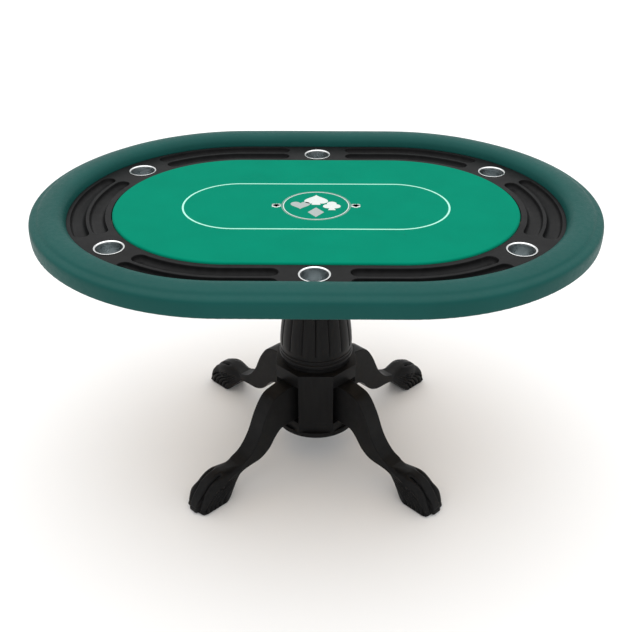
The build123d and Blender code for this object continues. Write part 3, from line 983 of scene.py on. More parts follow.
def build_device():
    """A plain device of the four card suits in a ring, printed in the middle of the cloth."""
    low, high = PRINT_LOW, PRINT_HIGH
    ring = 0.086
    places = {
        "spade": (0.0, 0.040, 0.034),
        "heart": (-0.042, 0.0, 0.028),
        "club": (0.042, 0.0, 0.028),
        "diamond": (0.0, -0.043, 0.030),
    }
    # a small suit stands on each side of the ring
    small_size, small_place = 0.013, 0.106
    # each shade's colour, its suits, the suit it repeats small, and its own ring
    shades = {
        "pale": ((0.62, 0.66, 0.64), ("spade", "club"), "spade", (ring, ring + 2.6 * MM)),
        "grey": ((0.36, 0.40, 0.39), ("heart", "diamond"), "heart", (ring + 5 * MM, ring + 6.2 * MM)),
    }
    for shade, (colour, suits, small_suit, (inner, outer)) in shades.items():
        points, faces = [], []
        for suit in suits:
            x, y, size = places[suit]
            shape = star_outline(SUITS[suit])
            plate([(x + size * px, y + size * py) for px, py in shape], low, high, points, faces)
            if suit == small_suit:
                for side in (-1, 1):
                    outline = [(side * small_place + small_size * px, small_size * py) for px, py in shape]
                    plate(outline, low, high, points, faces)
        ring_plate(inner, outer, low, high, points, faces)
        new_piece(
            "suit_device_" + shade,
            points,
            faces,
            [printed_ink("device_ink_" + shade, colour)],
            sharp=40,
        )


# Radii of the two rows of chip troughs, and where they end: degrees off each end's axis, and an X
TROUGH_CENTRES = (368.0 * MM, 417.0 * MM)
END_TROUGH_ANGLE = 27.0
SIDE_TROUGH_ANGLE = 52.0
SIDE_TROUGH_START_X = 84.0 * MM


def trough_lines(width):
    """Centre line of each trough as (x, y, outward x, outward y)."""
    lines = []
    steps, straight_steps = 40, 8
    for centre in TROUGH_CENTRES:
        margin = math.degrees(width / 2 / centre)
        limit = END_TROUGH_ANGLE - margin
        for side in (1, -1):
            line = []
            for i in range(steps + 1):
                turn = math.radians(limit * (2 * i / steps - 1))
                nx, ny = side * math.cos(turn), math.sin(turn)
                line.append((side * STRAIGHT_HALF + centre * nx, centre * ny, nx, ny))
            lines.append(line)
        start = SIDE_TROUGH_ANGLE + margin
        run_end = SIDE_TROUGH_START_X + width / 2
        for sx in (1, -1):
            for sy in (1, -1):
                line = []
                for i in range(steps + 1):
                    turn = math.radians(start + (90 - start) * i / steps)
                    nx, ny = sx * math.cos(turn), sy * math.sin(turn)
                    line.append((sx * STRAIGHT_HALF + centre * nx, centre * ny, nx, ny))
                for i in range(1, straight_steps + 1):
                    x = STRAIGHT_HALF + (run_end - STRAIGHT_HALF) * i / straight_steps
                    line.append((sx * x, sy * centre, 0.0, sy))
                lines.append(line)
    return lines


def trough_loop(line, half, cap_steps=14):
    """The outline at a half width round a trough's centre line, rounded at both ends."""
    loop = [(x + nx * half, y + ny * half) for x, y, nx, ny in line]
    for end, along in ((line[-1], 1), (line[0], -1)):
        x, y, nx, ny = end
        first = line[1] if along < 0 else line[-2]
        tx, ty = x - first[0], y - first[1]
        length = math.hypot(tx, ty)
        tx, ty = tx / length, ty / length
        for i in range(1, cap_steps):
            turn = math.pi * i / cap_steps
            c, s = math.cos(turn) * along, math.sin(turn)
            loop.append((x + half * (nx * c + tx * s), y + half * (ny * c + ty * s)))
        if along > 0:
            loop += [(px - qx * half, py - qy * half) for px, py, qx, qy in reversed(line)]
    return loop


def build_racetrack(settings):
    """The racetrack round the playing board, with its milled troughs and cup holes."""
    frames = stadium_frames(120, 30)
    half = settings.trough_width / 2
    deep = settings.trough_depth
    top = TRACK_TOP
    steps_down = [
        (half + 2.2 * MM, 0.0),
        (half + 1.3 * MM, 0.0),
        (half + 0.5 * MM, 0.25 * MM),
        (half, 0.9 * MM),
        (half - 0.5 * MM, 3 * MM),
        (half - 1.2 * MM, deep * 0.42),
        (half - 2.8 * MM, deep * 0.66),
        (half - 6 * MM, deep * 0.85),
        (half - 10 * MM, deep * 0.96),
        (half - 14 * MM, deep),
        (0.0, deep),
    ]
    points, faces = [], []

    def add_loop(loop):
        base = len(points)
        points.extend(loop)
        return list(range(base, base + len(loop)))

    def bridge(first, second):
        count = len(first)
        for i in range(count):
            j = (i + 1) % count
            faces.append((first[i], first[j], second[j], second[i]))

    top_loops = []
    outer_top = add_loop(stadium_ring_points(TRACK_OUTER, top, frames))
    outer_low = add_loop(stadium_ring_points(TRACK_OUTER, DECK_TOP, frames))
    bridge(outer_top, outer_low)
    top_loops.append(outer_top)
    lip = [(1.8, 0.0), (1.0, 0.0), (0.3, 0.3), (0.0, 1.0)]
    inner_rings = [
        add_loop(stadium_ring_points(TRACK_INNER + out * MM, top - down * MM, frames))
        for out, down in lip
    ]
    inner_low = add_loop(stadium_ring_points(TRACK_INNER, DECK_TOP, frames))
    for first, second in zip(inner_rings, inner_rings[1:] + [inner_low]):
        bridge(first, second)
    top_loops.append(inner_rings[0])
    low_loops = [outer_low, inner_low]
    for cup in CUPS:
        low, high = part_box(cup)
        x, y = (low.x + high.x) / 2, (low.y + high.y) / 2
        radius = (high.x - low.x) / 2 - 3.0 * MM
        circle = [
            (x + radius * math.cos(2 * math.pi * i / 64), y + radius * math.sin(2 * math.pi * i / 64))
            for i in range(64)
        ]
        hole_top = add_loop([(px, py, top) for px, py in circle])
        hole_low = add_loop([(px, py, DECK_TOP) for px, py in circle])
        bridge(hole_top, hole_low)
        top_loops.append(hole_top)
        low_loops.append(hole_low)
    for line in trough_lines(settings.trough_width):
        rings = [
            add_loop([(px, py, top - down) for px, py in trough_loop(line, width)])
            for width, down in steps_down
        ]
        for first, second in zip(rings, rings[1:]):
            bridge(first, second)
        top_loops.append(rings[0])
    for loops in (top_loops, low_loops):
        order = [index for loop in loops for index in loop]
        shapes = [[Vector((points[i][0], points[i][1], 0)) for i in loop] for loop in loops]
        for triangle in tessellate_polygon(shapes):
            faces.append(tuple(order[i] for i in triangle))
    track = new_piece(
        "racetrack",
        points,
        faces,
        [black_lacquer("track_lacquer", tuple(settings.track_colour), 0.36, 0.06, (60, 60, 60))],
        sharp=35,
    )
    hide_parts(*TRACK_BOARDS)


def cup_section(low, high):
    """Closed section of a spun cup with a rolled lip, from the outside of its bottom round."""
    flange = (high.x - low.x) / 2
    wall = 1.0 * MM
    mouth = flange - 5.0 * MM
    bottom = low.z
    top = TRACK_TOP
    bead = 0.9 * MM
    section = [(0.0, bottom + 1.2 * MM), (12 * MM, bottom + 1.2 * MM), (15 * MM, bottom + 0.2 * MM)]
    section += [(mouth + wall - 7 * MM, bottom)]
    section += arc_points((mouth + wall - 6 * MM, bottom + 6 * MM), 6 * MM, -75, 0, 6)
    section += [(mouth + wall, top - 3 * MM), (mouth + wall + 0.2 * MM, top - 0.4 * MM)]
    section += [(mouth + wall + 1.0 * MM, top + 0.05 * MM), (flange - bead, top + 0.05 * MM)]
    section += arc_points((flange - bead, top + 0.05 * MM + bead), bead, -70, 110, 9)
    section += [(mouth + 2.6 * MM, top + 1.55 * MM), (mouth + 1.4 * MM, top + 1.3 * MM)]
    section += [(mouth + 0.5 * MM, top + 0.6 * MM), (mouth, top - 1.0 * MM)]
    section += [(mouth, top - 8 * MM), (mouth, bottom + 12 * MM)]
    section += arc_points((mouth - 6 * MM, bottom + wall + 6 * MM), 6 * MM, 0, -90, 7)
    section += [(16 * MM, bottom + wall), (14.5 * MM, bottom + wall + 0.7 * MM)]
    section += [(12 * MM, bottom + wall + 1.0 * MM), (0.0, bottom + wall + 1.1 * MM)]
    return section


def build_cups():
    """Six drop-in steel cups: brushed inside, with a polished rolled lip."""
    for cup in CUPS:
        low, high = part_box(cup)
        centre = ((low.x + high.x) / 2, (low.y + high.y) / 2)
        points, faces = turned_mesh(cup_section(low, high), 96)
        points = [(x + centre[0], y + centre[1], z) for x, y, z in points]
        piece = new_piece(
            cup + "_steel",
            points,
            faces,
            [brushed_steel(), polished_steel()],
            body=cup,
            sharp=50,
        )
        for face in piece.data.polygons:
            face.material_index = 1 if face.center.z > TRACK_TOP - 1.5 * MM else 0
        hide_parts(cup)


# ---------------------------------------------------------------- the pedestal


def pedestal_lacquer(settings, grain_scale=(160, 160, 12)):
    """The pedestal's black lacquer, its grain running the given way."""
    name = "lacquer_" + "_".join(str(int(s)) for s in grain_scale)
    return black_lacquer(name, tuple(settings.lacquer_colour), 0.38, 0.10, grain_scale)


def build_barrel(settings):
    """The waisted column barrel, parted into staves by narrow grooves."""
    low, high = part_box("column_barrel")
    base, top = low.z, high.z
    belly = high.x
    waist = smooth_line(
        [
            (belly - 1.6 * MM, base),
            (belly - 0.6 * MM, base + 26 * MM),
            (belly - 4.6 * MM, base + 69 * MM),
            (belly - 13.6 * MM, base + 123 * MM),
            (belly - 28.6 * MM, base + 193 * MM),
            (belly - 38.6 * MM, top),
        ],
        20,
    )
    bore = COLUMN_BORE
    groove_width = 2.1 * MM
    stave_crown = 1.3 * MM
    per_stave = 22
    steps = settings.flute_count * per_stave
    points = []
    for i in range(steps):
        turn = 2 * math.pi * i / steps - math.pi / 2
        across = (i % per_stave) / per_stave
        off = min(across, 1 - across)
        for radius, height in waist:
            open_low = float(smoothstep(base + 13 * MM, base + 18 * MM, height))
            open_high = float(1 - smoothstep(top - 14 * MM, top - 8 * MM, height))
            taper = radius / belly
            arc = off * 2 * math.pi * radius / settings.flute_count
            groove = settings.flute_depth * math.exp(-((arc / groove_width) ** 2))
            bulge = stave_crown * taper * (1 - (2 * abs(across - 0.5)) ** 2.0)
            cut = (groove + stave_crown * taper - bulge) * open_low * open_high
            reach = radius - cut
            points.append((reach * math.cos(turn), reach * math.sin(turn), height))
        points.append((bore * math.cos(turn), bore * math.sin(turn), top))
        points.append((bore * math.cos(turn), bore * math.sin(turn), base))
    faces = grid_faces(steps, len(waist) + 2)
    barrel = new_piece(
        "column_barrel_staves", points, faces, [pedestal_lacquer(settings)], sharp=50
    )
    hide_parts("column_barrel")


def build_turnings(settings):
    """The turned base ring, collar and capital of the column."""
    lacquer = pedestal_lacquer(settings)
    bore = COLUMN_BORE
    low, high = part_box("column_base_ring")
    wide = high.x
    ring = [(bore, low.z), (wide - 8 * MM, low.z)]
    ring += smooth_line(
        [
            (wide - 8 * MM, low.z + 1 * MM),
            (wide - 8.6 * MM, low.z + 9 * MM),
            (wide - 6.5 * MM, low.z + 14 * MM),
            (wide - 3.5 * MM, low.z + 16.4 * MM),
        ],
        5,
    ).tolist()
    ring += arc_points((wide - 6.4 * MM, low.z + 23.6 * MM), 6.4 * MM, -62, 62, 14)
    ring += [(wide - 4.6 * MM, low.z + 31.0 * MM)]
    ring += arc_points((wide - 6.6 * MM, low.z + 37.2 * MM), 5.4 * MM, -66, 80, 14)
    ring += [(wide - 6.5 * MM, high.z), (bore, high.z)]
    low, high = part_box("column_collar")
    wide = high.x
    collar = [(bore, low.z), (wide - 8 * MM, low.z), (wide - 7 * MM, low.z + 2 * MM)]
    collar += arc_points((wide - 9 * MM, low.z + 12.5 * MM), 9 * MM, -75, 75, 18)
    collar += [(wide - 7.5 * MM, high.z - 2 * MM), (wide - 9 * MM, high.z), (bore, high.z)]
    low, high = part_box("column_capital")
    wide = high.x
    capital = [(bore, low.z)]
    capital += smooth_line(
        [
            (wide - 50 * MM, low.z),
            (wide - 48.5 * MM, low.z + 20 * MM),
            (wide - 40.5 * MM, low.z + 46 * MM),
            (wide - 25 * MM, low.z + 64 * MM),
            (wide - 8 * MM, low.z + 73.5 * MM),
        ],
        8,
    ).tolist()
    capital += [(wide - 5 * MM, low.z + 74.5 * MM), (wide - 5 * MM, low.z + 77 * MM)]
    capital += arc_points((wide - 2 * MM, high.z - 10 * MM), 2 * MM, -60, 0, 4)
    capital += arc_points((wide - 2 * MM, high.z - 2.2 * MM), 2 * MM, 0, 90, 5)
    capital += [(bore, high.z)]
    for name, node, section in (
        ("turned_base_ring", "column_base_ring", ring),
        ("turned_collar", "column_collar", collar),
        ("turned_capital", "column_capital", capital),
    ):
        points, faces = turned_mesh(section, 160)
        piece = new_piece(name, points, faces, [lacquer], sharp=45)
        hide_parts(node)


def build_hub(settings):
    """The hub's pilasters, slab and disc, with their arrises eased."""
    lacquer = pedestal_lacquer(settings)
    for name, node, width in (
        ("pilaster_hub", "hub_core", 1.6 * MM),
        ("eight_sided_slab", "hub_slab", 1.6 * MM),
        ("round_bottom_disc", "bottom_disc", 2.5 * MM),
    ):
        eased_copy(node, name, width, [lacquer])


# A leg's side view: points on its top line, each with its partner on the underside
LEG_LINES = (
    ((60, 262), (60, 138.5)),
    ((118, 262), (106, 138.5)),
    ((152, 259.5), (142, 138.5)),
    ((190, 248), (168, 135)),
    ((222, 206), (190, 117)),
    ((252, 144), (213, 90)),
    ((287, 104), (245, 73)),
    ((325, 88), (286, 70)),
    ((345, 89.5), (306, 68)),
    ((365, 93), (324, 62)),
    ((386, 95.5), (337, 50)),
    ((407, 93), (349, 38)),
    ((426, 85), (361, 25)),
    ((439, 75), (373, 12)),
    ((449, 64), (387, 4)),
    ((458, 53), (403, 3)),
    ((466, 43), (421, 3)),
    ((473, 32), (439, 3)),
    ((479, 18), (457, 3)),
    ((481, 6), (471, 3)),
)
LEG_HALF = 26.0 * MM
LEG_TOP = 261.8 * MM
LEG_UNDERSIDE = 3.0 * MM
PILASTER_HALF = 50.0 * MM
# The pair in LEG_LINES where the ankle ends and the paw begins
ANKLE = 7
PAW_START = 330.0 * MM
PAW_SPREAD = 14.0 * MM
PAW_CLOSE = 4.0 * MM
SHORT_TOE = 8.0 * MM
# The side toes are nested arches that spring from the ankle and end on the floor in steps
ARCH_SPRING = 345.0 * MM
ARCH_FIRST = 55.0 * MM
ARCH_STEP = 15.6 * MM
ARCH_CROWN = 17.0 * MM
ARCH_RISE = 0.42
TOE_SPLIT = 18.0 * MM


def paw_half_width(x):
    """Half width of a leg at a distance from the column's axis."""
    spread = smoothstep(PAW_START - 6 * MM, 396 * MM, x)
    close = smoothstep(458 * MM, 484 * MM, x)
    return LEG_HALF + PAW_SPREAD * spread - PAW_CLOSE * close


def rounded_section(half_wide, half_high, round_wide, round_high, steps):
    """Closed loop of an oblong with rounded upper corners as (across, up), from the middle of its top."""
    across, corner, side, under = steps
    foot = min(3.0 * MM, half_high * 0.5)
    loop = [((half_wide - round_wide) * i / across, half_high) for i in range(across)]
    for i in range(corner):
        turn = math.pi / 2 * (1 - i / corner)
        loop.append(
            (
                half_wide - round_wide + round_wide * math.cos(turn),
                half_high - round_high + round_high * math.sin(turn),
            )
        )
    for i in range(side):
        up = half_high - round_high - (2 * half_high - round_high - foot) * i / side
        loop.append((half_wide, up))
    for i in range(4):
        turn = -math.pi / 2 * i / 4
        loop.append((half_wide - foot + foot * math.cos(turn), foot - half_high + foot * math.sin(turn)))
    for i in range(under):
        loop.append(((half_wide - foot) * (1 - i / under), -half_high))
    mirrored = [(-y, z) for y, z in reversed(loop[1:])]
    return loop + [(0.0, -half_high)] + mirrored


def arch_reach(x, z):
    """How far from the spring the toe arch through each point of a paw's side meets the floor."""
    out = np.maximum(x - ARCH_SPRING, 0.5 * MM)
    low = out.copy()
    high = np.full_like(out, 400 * MM)
    for _ in range(26):
        middle = (low + high) / 2
        crown = ARCH_RISE * middle + ARCH_CROWN
        height = crown * np.sqrt(np.maximum(1 - (out / middle) ** 2, 0.0))
        low = np.where(height < z, middle, low)
        high = np.where(height < z, high, middle)
    return high


def carve_paw(grid, normals, settings):
    """Depth of the carving at every point of a leg."""
    x, y, z = grid[..., 0], np.abs(grid[..., 1]), grid[..., 2]
    ahead, side, up = normals[..., 0], np.abs(normals[..., 1]), normals[..., 2]
    valley_depth, valley_width = 7.5 * MM, 3.2 * MM
    pocket_depth, pocket_width = 4.0 * MM, 6.5 * MM
    claw_depth, claw_height, claw_width = 1.6 * MM, 17.0 * MM, 2.0 * MM
    # two valleys part the long middle toe from its neighbours, with a deep pocket at the knuckle
    facing = np.clip(up + 0.9 * ahead, 0.0, 1.0)
    along = smoothstep(374 * MM, 398 * MM, x) * (1 - 0.3 * smoothstep(440 * MM, 470 * MM, x))
    depth = valley_depth * along * facing * np.exp(-(((y - TOE_SPLIT) / valley_width) ** 2))
    pocket = smoothstep(380 * MM, 396 * MM, x) * (1 - smoothstep(416 * MM, 436 * MM, x))
    depth += pocket_depth * pocket * facing * np.exp(-(((y - TOE_SPLIT - 3 * MM) / pocket_width) ** 2))
    # nested side toes
    place = (arch_reach(x, z - 3 * MM) - ARCH_FIRST) / ARCH_STEP
    off = np.abs(place - np.round(place))
    crease = (1 - 2 * off) ** 1.8
    last = settings.toe_grooves
    inside = smoothstep(-0.45, -0.15, place) * (1 - smoothstep(last - 0.85, last - 0.55, place))
    growth = 0.25 + 0.75 * smoothstep(ARCH_SPRING, ARCH_SPRING + 50 * MM, x)
    growth = growth * smoothstep(ARCH_SPRING - 4 * MM, ARCH_SPRING + 6 * MM, x)
    lap = 0.35 * (place - np.floor(place))
    depth += settings.toe_depth * (crease + lap) * inside * growth * smoothstep(0.3, 0.8, side)
    # claws: a crease across each toe just above the floor
    claw_line = np.exp(-(((z - claw_height) / claw_width) ** 2))
    depth += claw_depth * smoothstep(0.3, 0.85, ahead) * claw_line
    return depth


def leg_points(settings):
    """Points and faces of one leg that runs along +X."""
    lines = np.array(LEG_LINES) * MM
    top, under = (
        np.vstack([smooth_line(lines[: ANKLE + 1, side], 8)[:-1], smooth_line(lines[ANKLE:, side], 9)])
        for side in (0, 1)
    )
    top[:, 1] = np.minimum(top[:, 1], LEG_TOP)
    under[:, 1] = np.maximum(under[:, 1], LEG_UNDERSIDE)
    rings = []
    for (tx, tz), (ux, uz) in zip(top, under):
        cx, cz = (tx + ux) / 2, (tz + uz) / 2
        dx, dz = (tx - ux) / 2, (tz - uz) / 2
        high = math.hypot(dx, dz)
        wide = float(paw_half_width(cx))
        paw = float(smoothstep(PAW_START - 20 * MM, PAW_START + 40 * MM, tx))
        blunt = float(smoothstep(436 * MM, 462 * MM, tx))
        round_wide = 3.0 * MM + (23.0 - 14.0 * blunt) * MM * paw
        round_high = min(3.0 * MM + (40.0 - 28.0 * blunt) * MM * paw, high * 1.3)
        ring = []
        for y, up in rounded_section(wide, high, round_wide, round_high, (12, 14, 40, 6)):
            x = cx + dx * up / high
            ring.append((x, y * float(paw_half_width(x)) / wide, cz + dz * up / high))
        rings.append(ring)
    grid = np.array(rings)
    # the toes beside the middle one are shorter
    short = smoothstep(442 * MM, 478 * MM, grid[..., 0])
    short = short * smoothstep(TOE_SPLIT - 2 * MM, TOE_SPLIT + 1.5 * MM, np.abs(grid[..., 1]))
    grid[..., 0] -= SHORT_TOE * short
    along = np.gradient(grid, axis=0)
    around = np.roll(grid, -1, axis=1) - np.roll(grid, 1, axis=1)
    normals = np.cross(around, along)
    normals /= np.maximum(np.linalg.norm(normals, axis=2), 1e-9)[:, :, None]
    middle = grid.mean(axis=1, keepdims=True)
    normals *= np.sign(((grid - middle) * normals).sum())
    carved = grid[..., 0] > PAW_START
    grid -= normals * (carve_paw(grid, normals, settings) * carved)[:, :, None]
    grid[:, :, 2] = np.maximum(grid[:, :, 2], LEG_UNDERSIDE)
    # the hub end is a point that fits the corner between two pilasters
    corner = PILASTER_HALF * math.sqrt(2) + 0.2 * MM
    grid[:, :, 0] = np.maximum(grid[:, :, 0], corner + np.abs(grid[:, :, 1]))
    count = grid.shape[1]
    points = grid.reshape(-1, 3).tolist()
    faces = []
    for i in range(grid.shape[0] - 1):
        for k in range(count):
            m = (k + 1) % count
            faces.append((i * count + k, i * count + m, (i + 1) * count + m, (i + 1) * count + k))
    for ring in (0, grid.shape[0] - 1):
        base = ring * count
        for k in range(1, count // 2):
            a, b = base + k, base + k + 1
            c, d = base + (count - k - 1) % count, base + (count - k) % count
            faces.append((a, b, c, d) if b != c else (a, b, d))
        faces.append((base, base + 1, base + count - 1))
    return points, faces


def build_legs(settings):
    """Four carved legs with clawed paws."""
    points, faces = leg_points(settings)
    for node, angle in LEGS.items():
        turn = math.radians(angle)
        c, s = math.cos(turn), math.sin(turn)
        placed = [(x * c - y * s, x * s + y * c, z) for x, y, z in points]
        leg = new_piece(
            node + "_carved",
            placed,
            faces,
            [pedestal_lacquer(settings, (60, 60, 60))],
            sharp=48,
        )
        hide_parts(node)


# ---------------------------------------------------------------- boards and hardware


def paint(node, material):
    """Give a CAD node that shows as it is its own finish."""
    cad = frame["nodes"][node]
    cad.data.materials.clear()
    cad.data.materials.append(material)


def build_boards():
    """The plywood boards under the top, with their arrises eased."""
    for node in ("deck_board", "long_battens", "cross_battens", "top_plate"):
        eased_copy(node, node + "_eased", 1.2 * MM, [plywood()])
    for node in ("playing_board", "rail_base_board", "rail_skirt_board"):
        paint(node, plywood())


def fastener_mesh(rings, sides, reach):
    """Points and faces of rings of (radius, height, kind), where reach gives each point its radius."""
    points, faces = [], []
    for radius, height, kind in rings:
        for i in range(sides):
            turn = 2 * math.pi * i / sides
            own = reach(radius, kind, i)
            points.append((own * math.cos(turn), own * math.sin(turn), height))
    for row in range(len(rings) - 1):
        for i in range(sides):
            j = (i + 1) % sides
            a = row * sides
            faces.append((a + i, a + j, a + sides + j, a + sides + i))
    faces.append(tuple(range(sides)))
    last = (len(rings) - 1) * sides
    faces.append(tuple(last + i for i in range(sides)))
    return points, faces


def screw_shape(head, head_height, shank, length):
    """A pan-head screw with its head down at the origin, with a cross-shaped recess."""
    plain, recess = 0, 1
    rings = [
        (shank, length, plain),
        (shank, 0.0, plain),
        (head, 0.0, plain),
        (head, -head_height * 0.35, plain),
        (head * 0.93, -head_height * 0.72, plain),
        (head * 0.74, -head_height * 0.95, plain),
        (head * 0.56, -head_height, plain),
        (head * 0.54, -head_height * 0.4, recess),
        (head * 0.20, -head_height * 0.35, recess),
    ]

    def reach(radius, kind, i):
        between_arms = i % 8 not in (0, 1, 7)
        return radius * 0.42 if kind == recess and between_arms else radius

    return fastener_mesh(rings, 32, reach)


def bolt_shape(head, head_height, shank, length):
    """A hexagon bolt with a washer face, head down at the origin."""
    plain, hexagon = 0, 1
    flats = head * 0.74
    rings = [
        (shank, length, plain),
        (shank, 0.0, plain),
        (head, 0.0, plain),
        (head, -head_height * 0.28, plain),
        (flats, -head_height * 0.28, hexagon),
        (flats, -head_height * 0.86, hexagon),
        (flats * 0.9, -head_height, plain),
    ]

    sides = 36

    def reach(radius, kind, i):
        wedge = (2 * math.pi * i / sides + math.pi / 6) % (math.pi / 3) - math.pi / 6
        return radius / math.cos(wedge) if kind == hexagon else radius

    return fastener_mesh(rings, sides, reach)


SCREWS = {
    "track_screws": (screw_shape, 3.0 * MM),
    "board_screws": (screw_shape, 3.0 * MM),
    "batten_screws": (screw_shape, 3.0 * MM),
    "disc_screws": (screw_shape, 3.0 * MM),
    "plate_bolts": (bolt_shape, 4.0 * MM),
    "rail_bolts": (bolt_shape, 4.0 * MM),
}


def build_screws():
    """Screws and bolts seen from below, one shape stood at each of their places."""
    random = np.random.default_rng(7)
    for node, (shape, head_height) in SCREWS.items():
        boxes = islands(node)
        low, high = boxes[0]
        head = (high[0] - low[0]) / 2
        shank = head * 0.5 if shape is screw_shape else head * 0.44
        points, faces = shape(head, head_height, shank, high[2] - low[2] - head_height)
        template = hidden_template(node + "_shape", points, faces)
        places = [((a[0] + b[0]) / 2, (a[1] + b[1]) / 2, a[2] + head_height) for a, b in boxes]
        turns = [(0.0, 0.0, float(random.uniform(0, math.pi))) for _ in places]
        tree = scatter_tree(node + "_tree", template, zinc_steel())
        cloud = point_cloud(node + "_points", places, turns)
        piece = bake_tree(node + "_set", cloud, tree, "table", "zinc_steel", Size=1.0)
        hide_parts(node)
        bpy.data.objects.remove(template)


def build_staples():
    """Staples that hold the vinyl's hem under the rail."""
    crown, thick, proud = 10.0 * MM, 1.2 * MM, 0.5 * MM
    x, y = crown / 2, thick / 2
    corners_round = ((-1, -1), (1, -1), (1, 1), (-1, 1))
    levels = ((1.0, 1.0, 0.3 * MM), (1.0, 1.0, -proud * 0.5), (0.94, 0.6, -proud))
    points = [(sx * x * wx, sy * y * wy, z) for wx, wy, z in levels for sx, sy in corners_round]
    faces = [(0, 3, 2, 1), (8, 9, 10, 11)]
    for low in (0, 4):
        for i in range(4):
            j = (i + 1) % 4
            faces.append((low + i, low + j, low + 4 + j, low + 4 + i))
    template = hidden_template("staple_shape", points, faces)
    frames = stadium_frames(64, 16)
    loop = stadium_ring_points(SKIRT_INNER + 7 * MM, RAIL_BOTTOM, frames)
    path = bpy.data.meshes.new("staple_path")
    path.from_pydata(loop, [(i, (i + 1) % len(loop)) for i in range(len(loop))], [])
    tree = follow_tree("staple_tree", template, zinc_steel())
    bake_tree("hem_staples", path, tree, "table", "zinc_steel", Spacing=0.026)
    bpy.data.objects.remove(template)


def paint_hardware():
    """Finishes of the CAD nodes that show as they are."""
    metal = (
        "tie_rod",
        "tie_rod_nuts",
        "tie_rod_washers",
        "leg_bolts",
        "leg_bolt_nuts",
        "leg_bolt_washers",
        "rail_tee_nuts",
    )
    for node in metal:
        paint(node, zinc_steel())
    paint("foot_glides", glide_plastic())


# ---------------------------------------------------------------- floor, light and camera


def build_stage(settings):
    """A plain pale floor, light from all round, an overhead soft light and the camera."""
    half = settings.floor_size / 2
    mesh = bpy.data.meshes.new("floor")
    square = [(-half, -half, 0), (half, -half, 0), (half, half, 0), (-half, half, 0)]
    mesh.from_pydata(square, [], [(0, 1, 2, 3)])
    floor = bpy.data.objects.new("floor", mesh)
    bpy.context.scene.collection.objects.link(floor)
    finish = Finish("floor_paint", (0.86, 0.86, 0.86), roughness=0.9, specular=0.0)
    mesh.materials.append(finish.material)

    world = bpy.data.worlds.new("studio")
    bpy.context.scene.world = world
    world.use_nodes = True
    sky = world.node_tree.nodes["Background"]
    sky.inputs["Color"].default_value = (1.0, 1.0, 1.0, 1.0)
    sky.inputs["Strength"].default_value = settings.sky_strength

    # an area light left unturned shines straight down
    light = bpy.data.lights.new("overhead_soft", "AREA")
    light.shape = "SQUARE"
    light.size = settings.lamp_size
    light.energy = settings.lamp_power
    lamp = bpy.data.objects.new("overhead_soft", light)
    lamp.location = settings.lamp_place
    bpy.context.scene.collection.objects.link(lamp)

    camera = bpy.data.cameras.new("camera")
    camera.lens = settings.lens
    camera.sensor_width = 36.0
    camera.clip_end = 200.0
    view = bpy.data.objects.new("camera", camera)
    view.location = settings.camera_place
    view.rotation_euler = (math.pi / 2 - settings.camera_pitch, 0.0, settings.camera_yaw)
    bpy.context.scene.collection.objects.link(view)
    bpy.context.scene.camera = view
    bpy.context.scene.view_settings.view_transform = "Standard"


# ---------------------------------------------------------------- operators and panel


class POKERTABLE_OT_stage(bpy.types.Operator):
    """Build the floor, the lights and the camera"""

    bl_idname = "poker_table.stage"
    bl_label = "Stage"

    def execute(self, context):
        build_stage(context.scene.poker_table_stage)
        return {"FINISHED"}


class POKERTABLE_OT_rail(bpy.types.Operator):
    """Build the padded vinyl rail and the staples under it"""

    bl_idname = "poker_table.rail"
    bl_label = "Rail"

    def execute(self, context):
        build_rail(context.scene.poker_table_top)
        build_staples()
        return {"FINISHED"}


class POKERTABLE_OT_cloth(bpy.types.Operator):
    """Build the playing cloth over its foam"""

    bl_idname = "poker_table.cloth"
    bl_label = "Playing cloth"

    def execute(self, context):
        build_pad()
        build_cloth(context.scene.poker_table_top)
        return {"FINISHED"}


class POKERTABLE_OT_print(bpy.types.Operator):
    """Print the betting line and the card suits on the cloth"""

    bl_idname = "poker_table.print"
    bl_label = "Printed line and suits"

    def execute(self, context):
        build_line(context.scene.poker_table_top)
        build_device()
        return {"FINISHED"}


class POKERTABLE_OT_racetrack(bpy.types.Operator):
    """Build the racetrack with its chip troughs"""

    bl_idname = "poker_table.racetrack"
    bl_label = "Racetrack"

    def execute(self, context):
        build_racetrack(context.scene.poker_table_top)
        return {"FINISHED"}


class POKERTABLE_OT_cups(bpy.types.Operator):
    """Build the six drop-in cups"""

    bl_idname = "poker_table.cups"
    bl_label = "Cups"

    def execute(self, context):
        build_cups()
        return {"FINISHED"}


class POKERTABLE_OT_column(bpy.types.Operator):
    """Build the column's staved barrel and its turnings"""

    bl_idname = "poker_table.column"
    bl_label = "Column"

    def execute(self, context):
        build_barrel(context.scene.poker_table_pedestal)
        build_turnings(context.scene.poker_table_pedestal)
        return {"FINISHED"}


class POKERTABLE_OT_hub(bpy.types.Operator):
    """Build the hub that carries the legs"""

    bl_idname = "poker_table.hub"
    bl_label = "Hub"

    def execute(self, context):
        build_hub(context.scene.poker_table_pedestal)
        return {"FINISHED"}


class POKERTABLE_OT_legs(bpy.types.Operator):
    """Build the four carved legs"""

    bl_idname = "poker_table.legs"
    bl_label = "Legs"

    def execute(self, context):
        build_legs(context.scene.poker_table_pedestal)
        return {"FINISHED"}


class POKERTABLE_OT_boards(bpy.types.Operator):
    """Finish the plywood boards"""

    bl_idname = "poker_table.boards"
    bl_label = "Boards"

    def execute(self, context):
        build_boards()
        return {"FINISHED"}


class POKERTABLE_OT_hardware(bpy.types.Operator):
    """Build the screws and bolts and finish the other hardware"""

    bl_idname = "poker_table.hardware"
    bl_label = "Hardware"

    def execute(self, context):
        build_screws()
        paint_hardware()
        return {"FINISHED"}


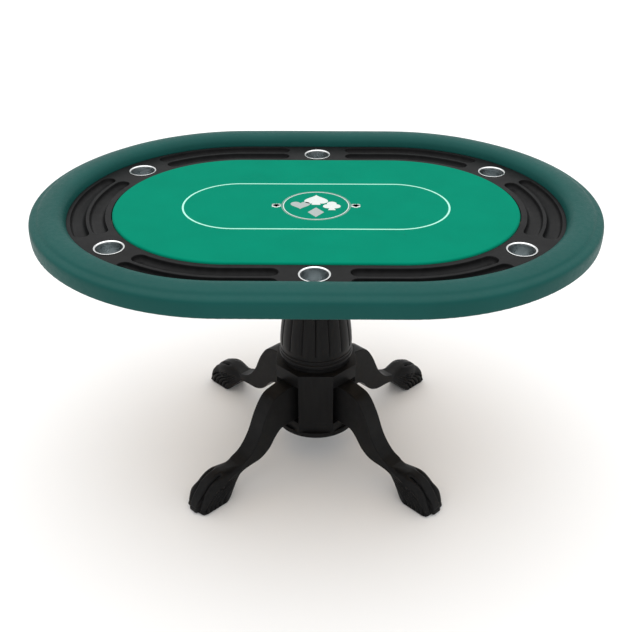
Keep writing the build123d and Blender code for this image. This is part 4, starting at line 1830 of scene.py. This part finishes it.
STEPS = (
    POKERTABLE_OT_stage,
    POKERTABLE_OT_rail,
    POKERTABLE_OT_cloth,
    POKERTABLE_OT_print,
    POKERTABLE_OT_racetrack,
    POKERTABLE_OT_cups,
    POKERTABLE_OT_column,
    POKERTABLE_OT_hub,
    POKERTABLE_OT_legs,
    POKERTABLE_OT_boards,
    POKERTABLE_OT_hardware,
)


class POKERTABLE_PT_sidebar(bpy.types.Panel):
    """Lists the steps that build the table"""

    bl_label = "Poker Table"
    bl_idname = "POKERTABLE_PT_sidebar"
    bl_space_type = "VIEW_3D"
    bl_region_type = "UI"
    bl_category = "Poker Table"

    def draw(self, context):
        for step in STEPS:
            self.layout.operator(step.bl_idname)
        for group in (
            context.scene.poker_table_top,
            context.scene.poker_table_pedestal,
            context.scene.poker_table_stage,
        ):
            box = self.layout.box()
            for name in group.__annotations__:
                box.prop(group, name)


GROUPS = {
    "poker_table_top": PokerTableTop,
    "poker_table_pedestal": PokerTablePedestal,
    "poker_table_stage": PokerTableStage,
}


def register():
    for group in GROUPS.values():
        bpy.utils.register_class(group)
    for step in STEPS:
        bpy.utils.register_class(step)
    bpy.utils.register_class(POKERTABLE_PT_sidebar)
    for name, group in GROUPS.items():
        setattr(bpy.types.Scene, name, bpy.props.PointerProperty(type=group))


def unregister():
    for name in GROUPS:
        delattr(bpy.types.Scene, name)
    bpy.utils.unregister_class(POKERTABLE_PT_sidebar)
    for step in reversed(STEPS):
        bpy.utils.unregister_class(step)
    for group in reversed(GROUPS.values()):
        bpy.utils.unregister_class(group)


def corners(bounds):
    """A box as plain lists of numbers."""
    return [[float(v) for v in corner] for corner in bounds]


def main():
    register()
    bpy.ops.poker_table.stage()
    bpy.ops.poker_table.rail()
    bpy.ops.poker_table.cloth()
    bpy.ops.poker_table.print()
    bpy.ops.poker_table.racetrack()
    bpy.ops.poker_table.cups()
    bpy.ops.poker_table.column()
    bpy.ops.poker_table.hub()
    bpy.ops.poker_table.legs()
    bpy.ops.poker_table.boards()
    bpy.ops.poker_table.hardware()


if __name__ == "__main__":
    main()
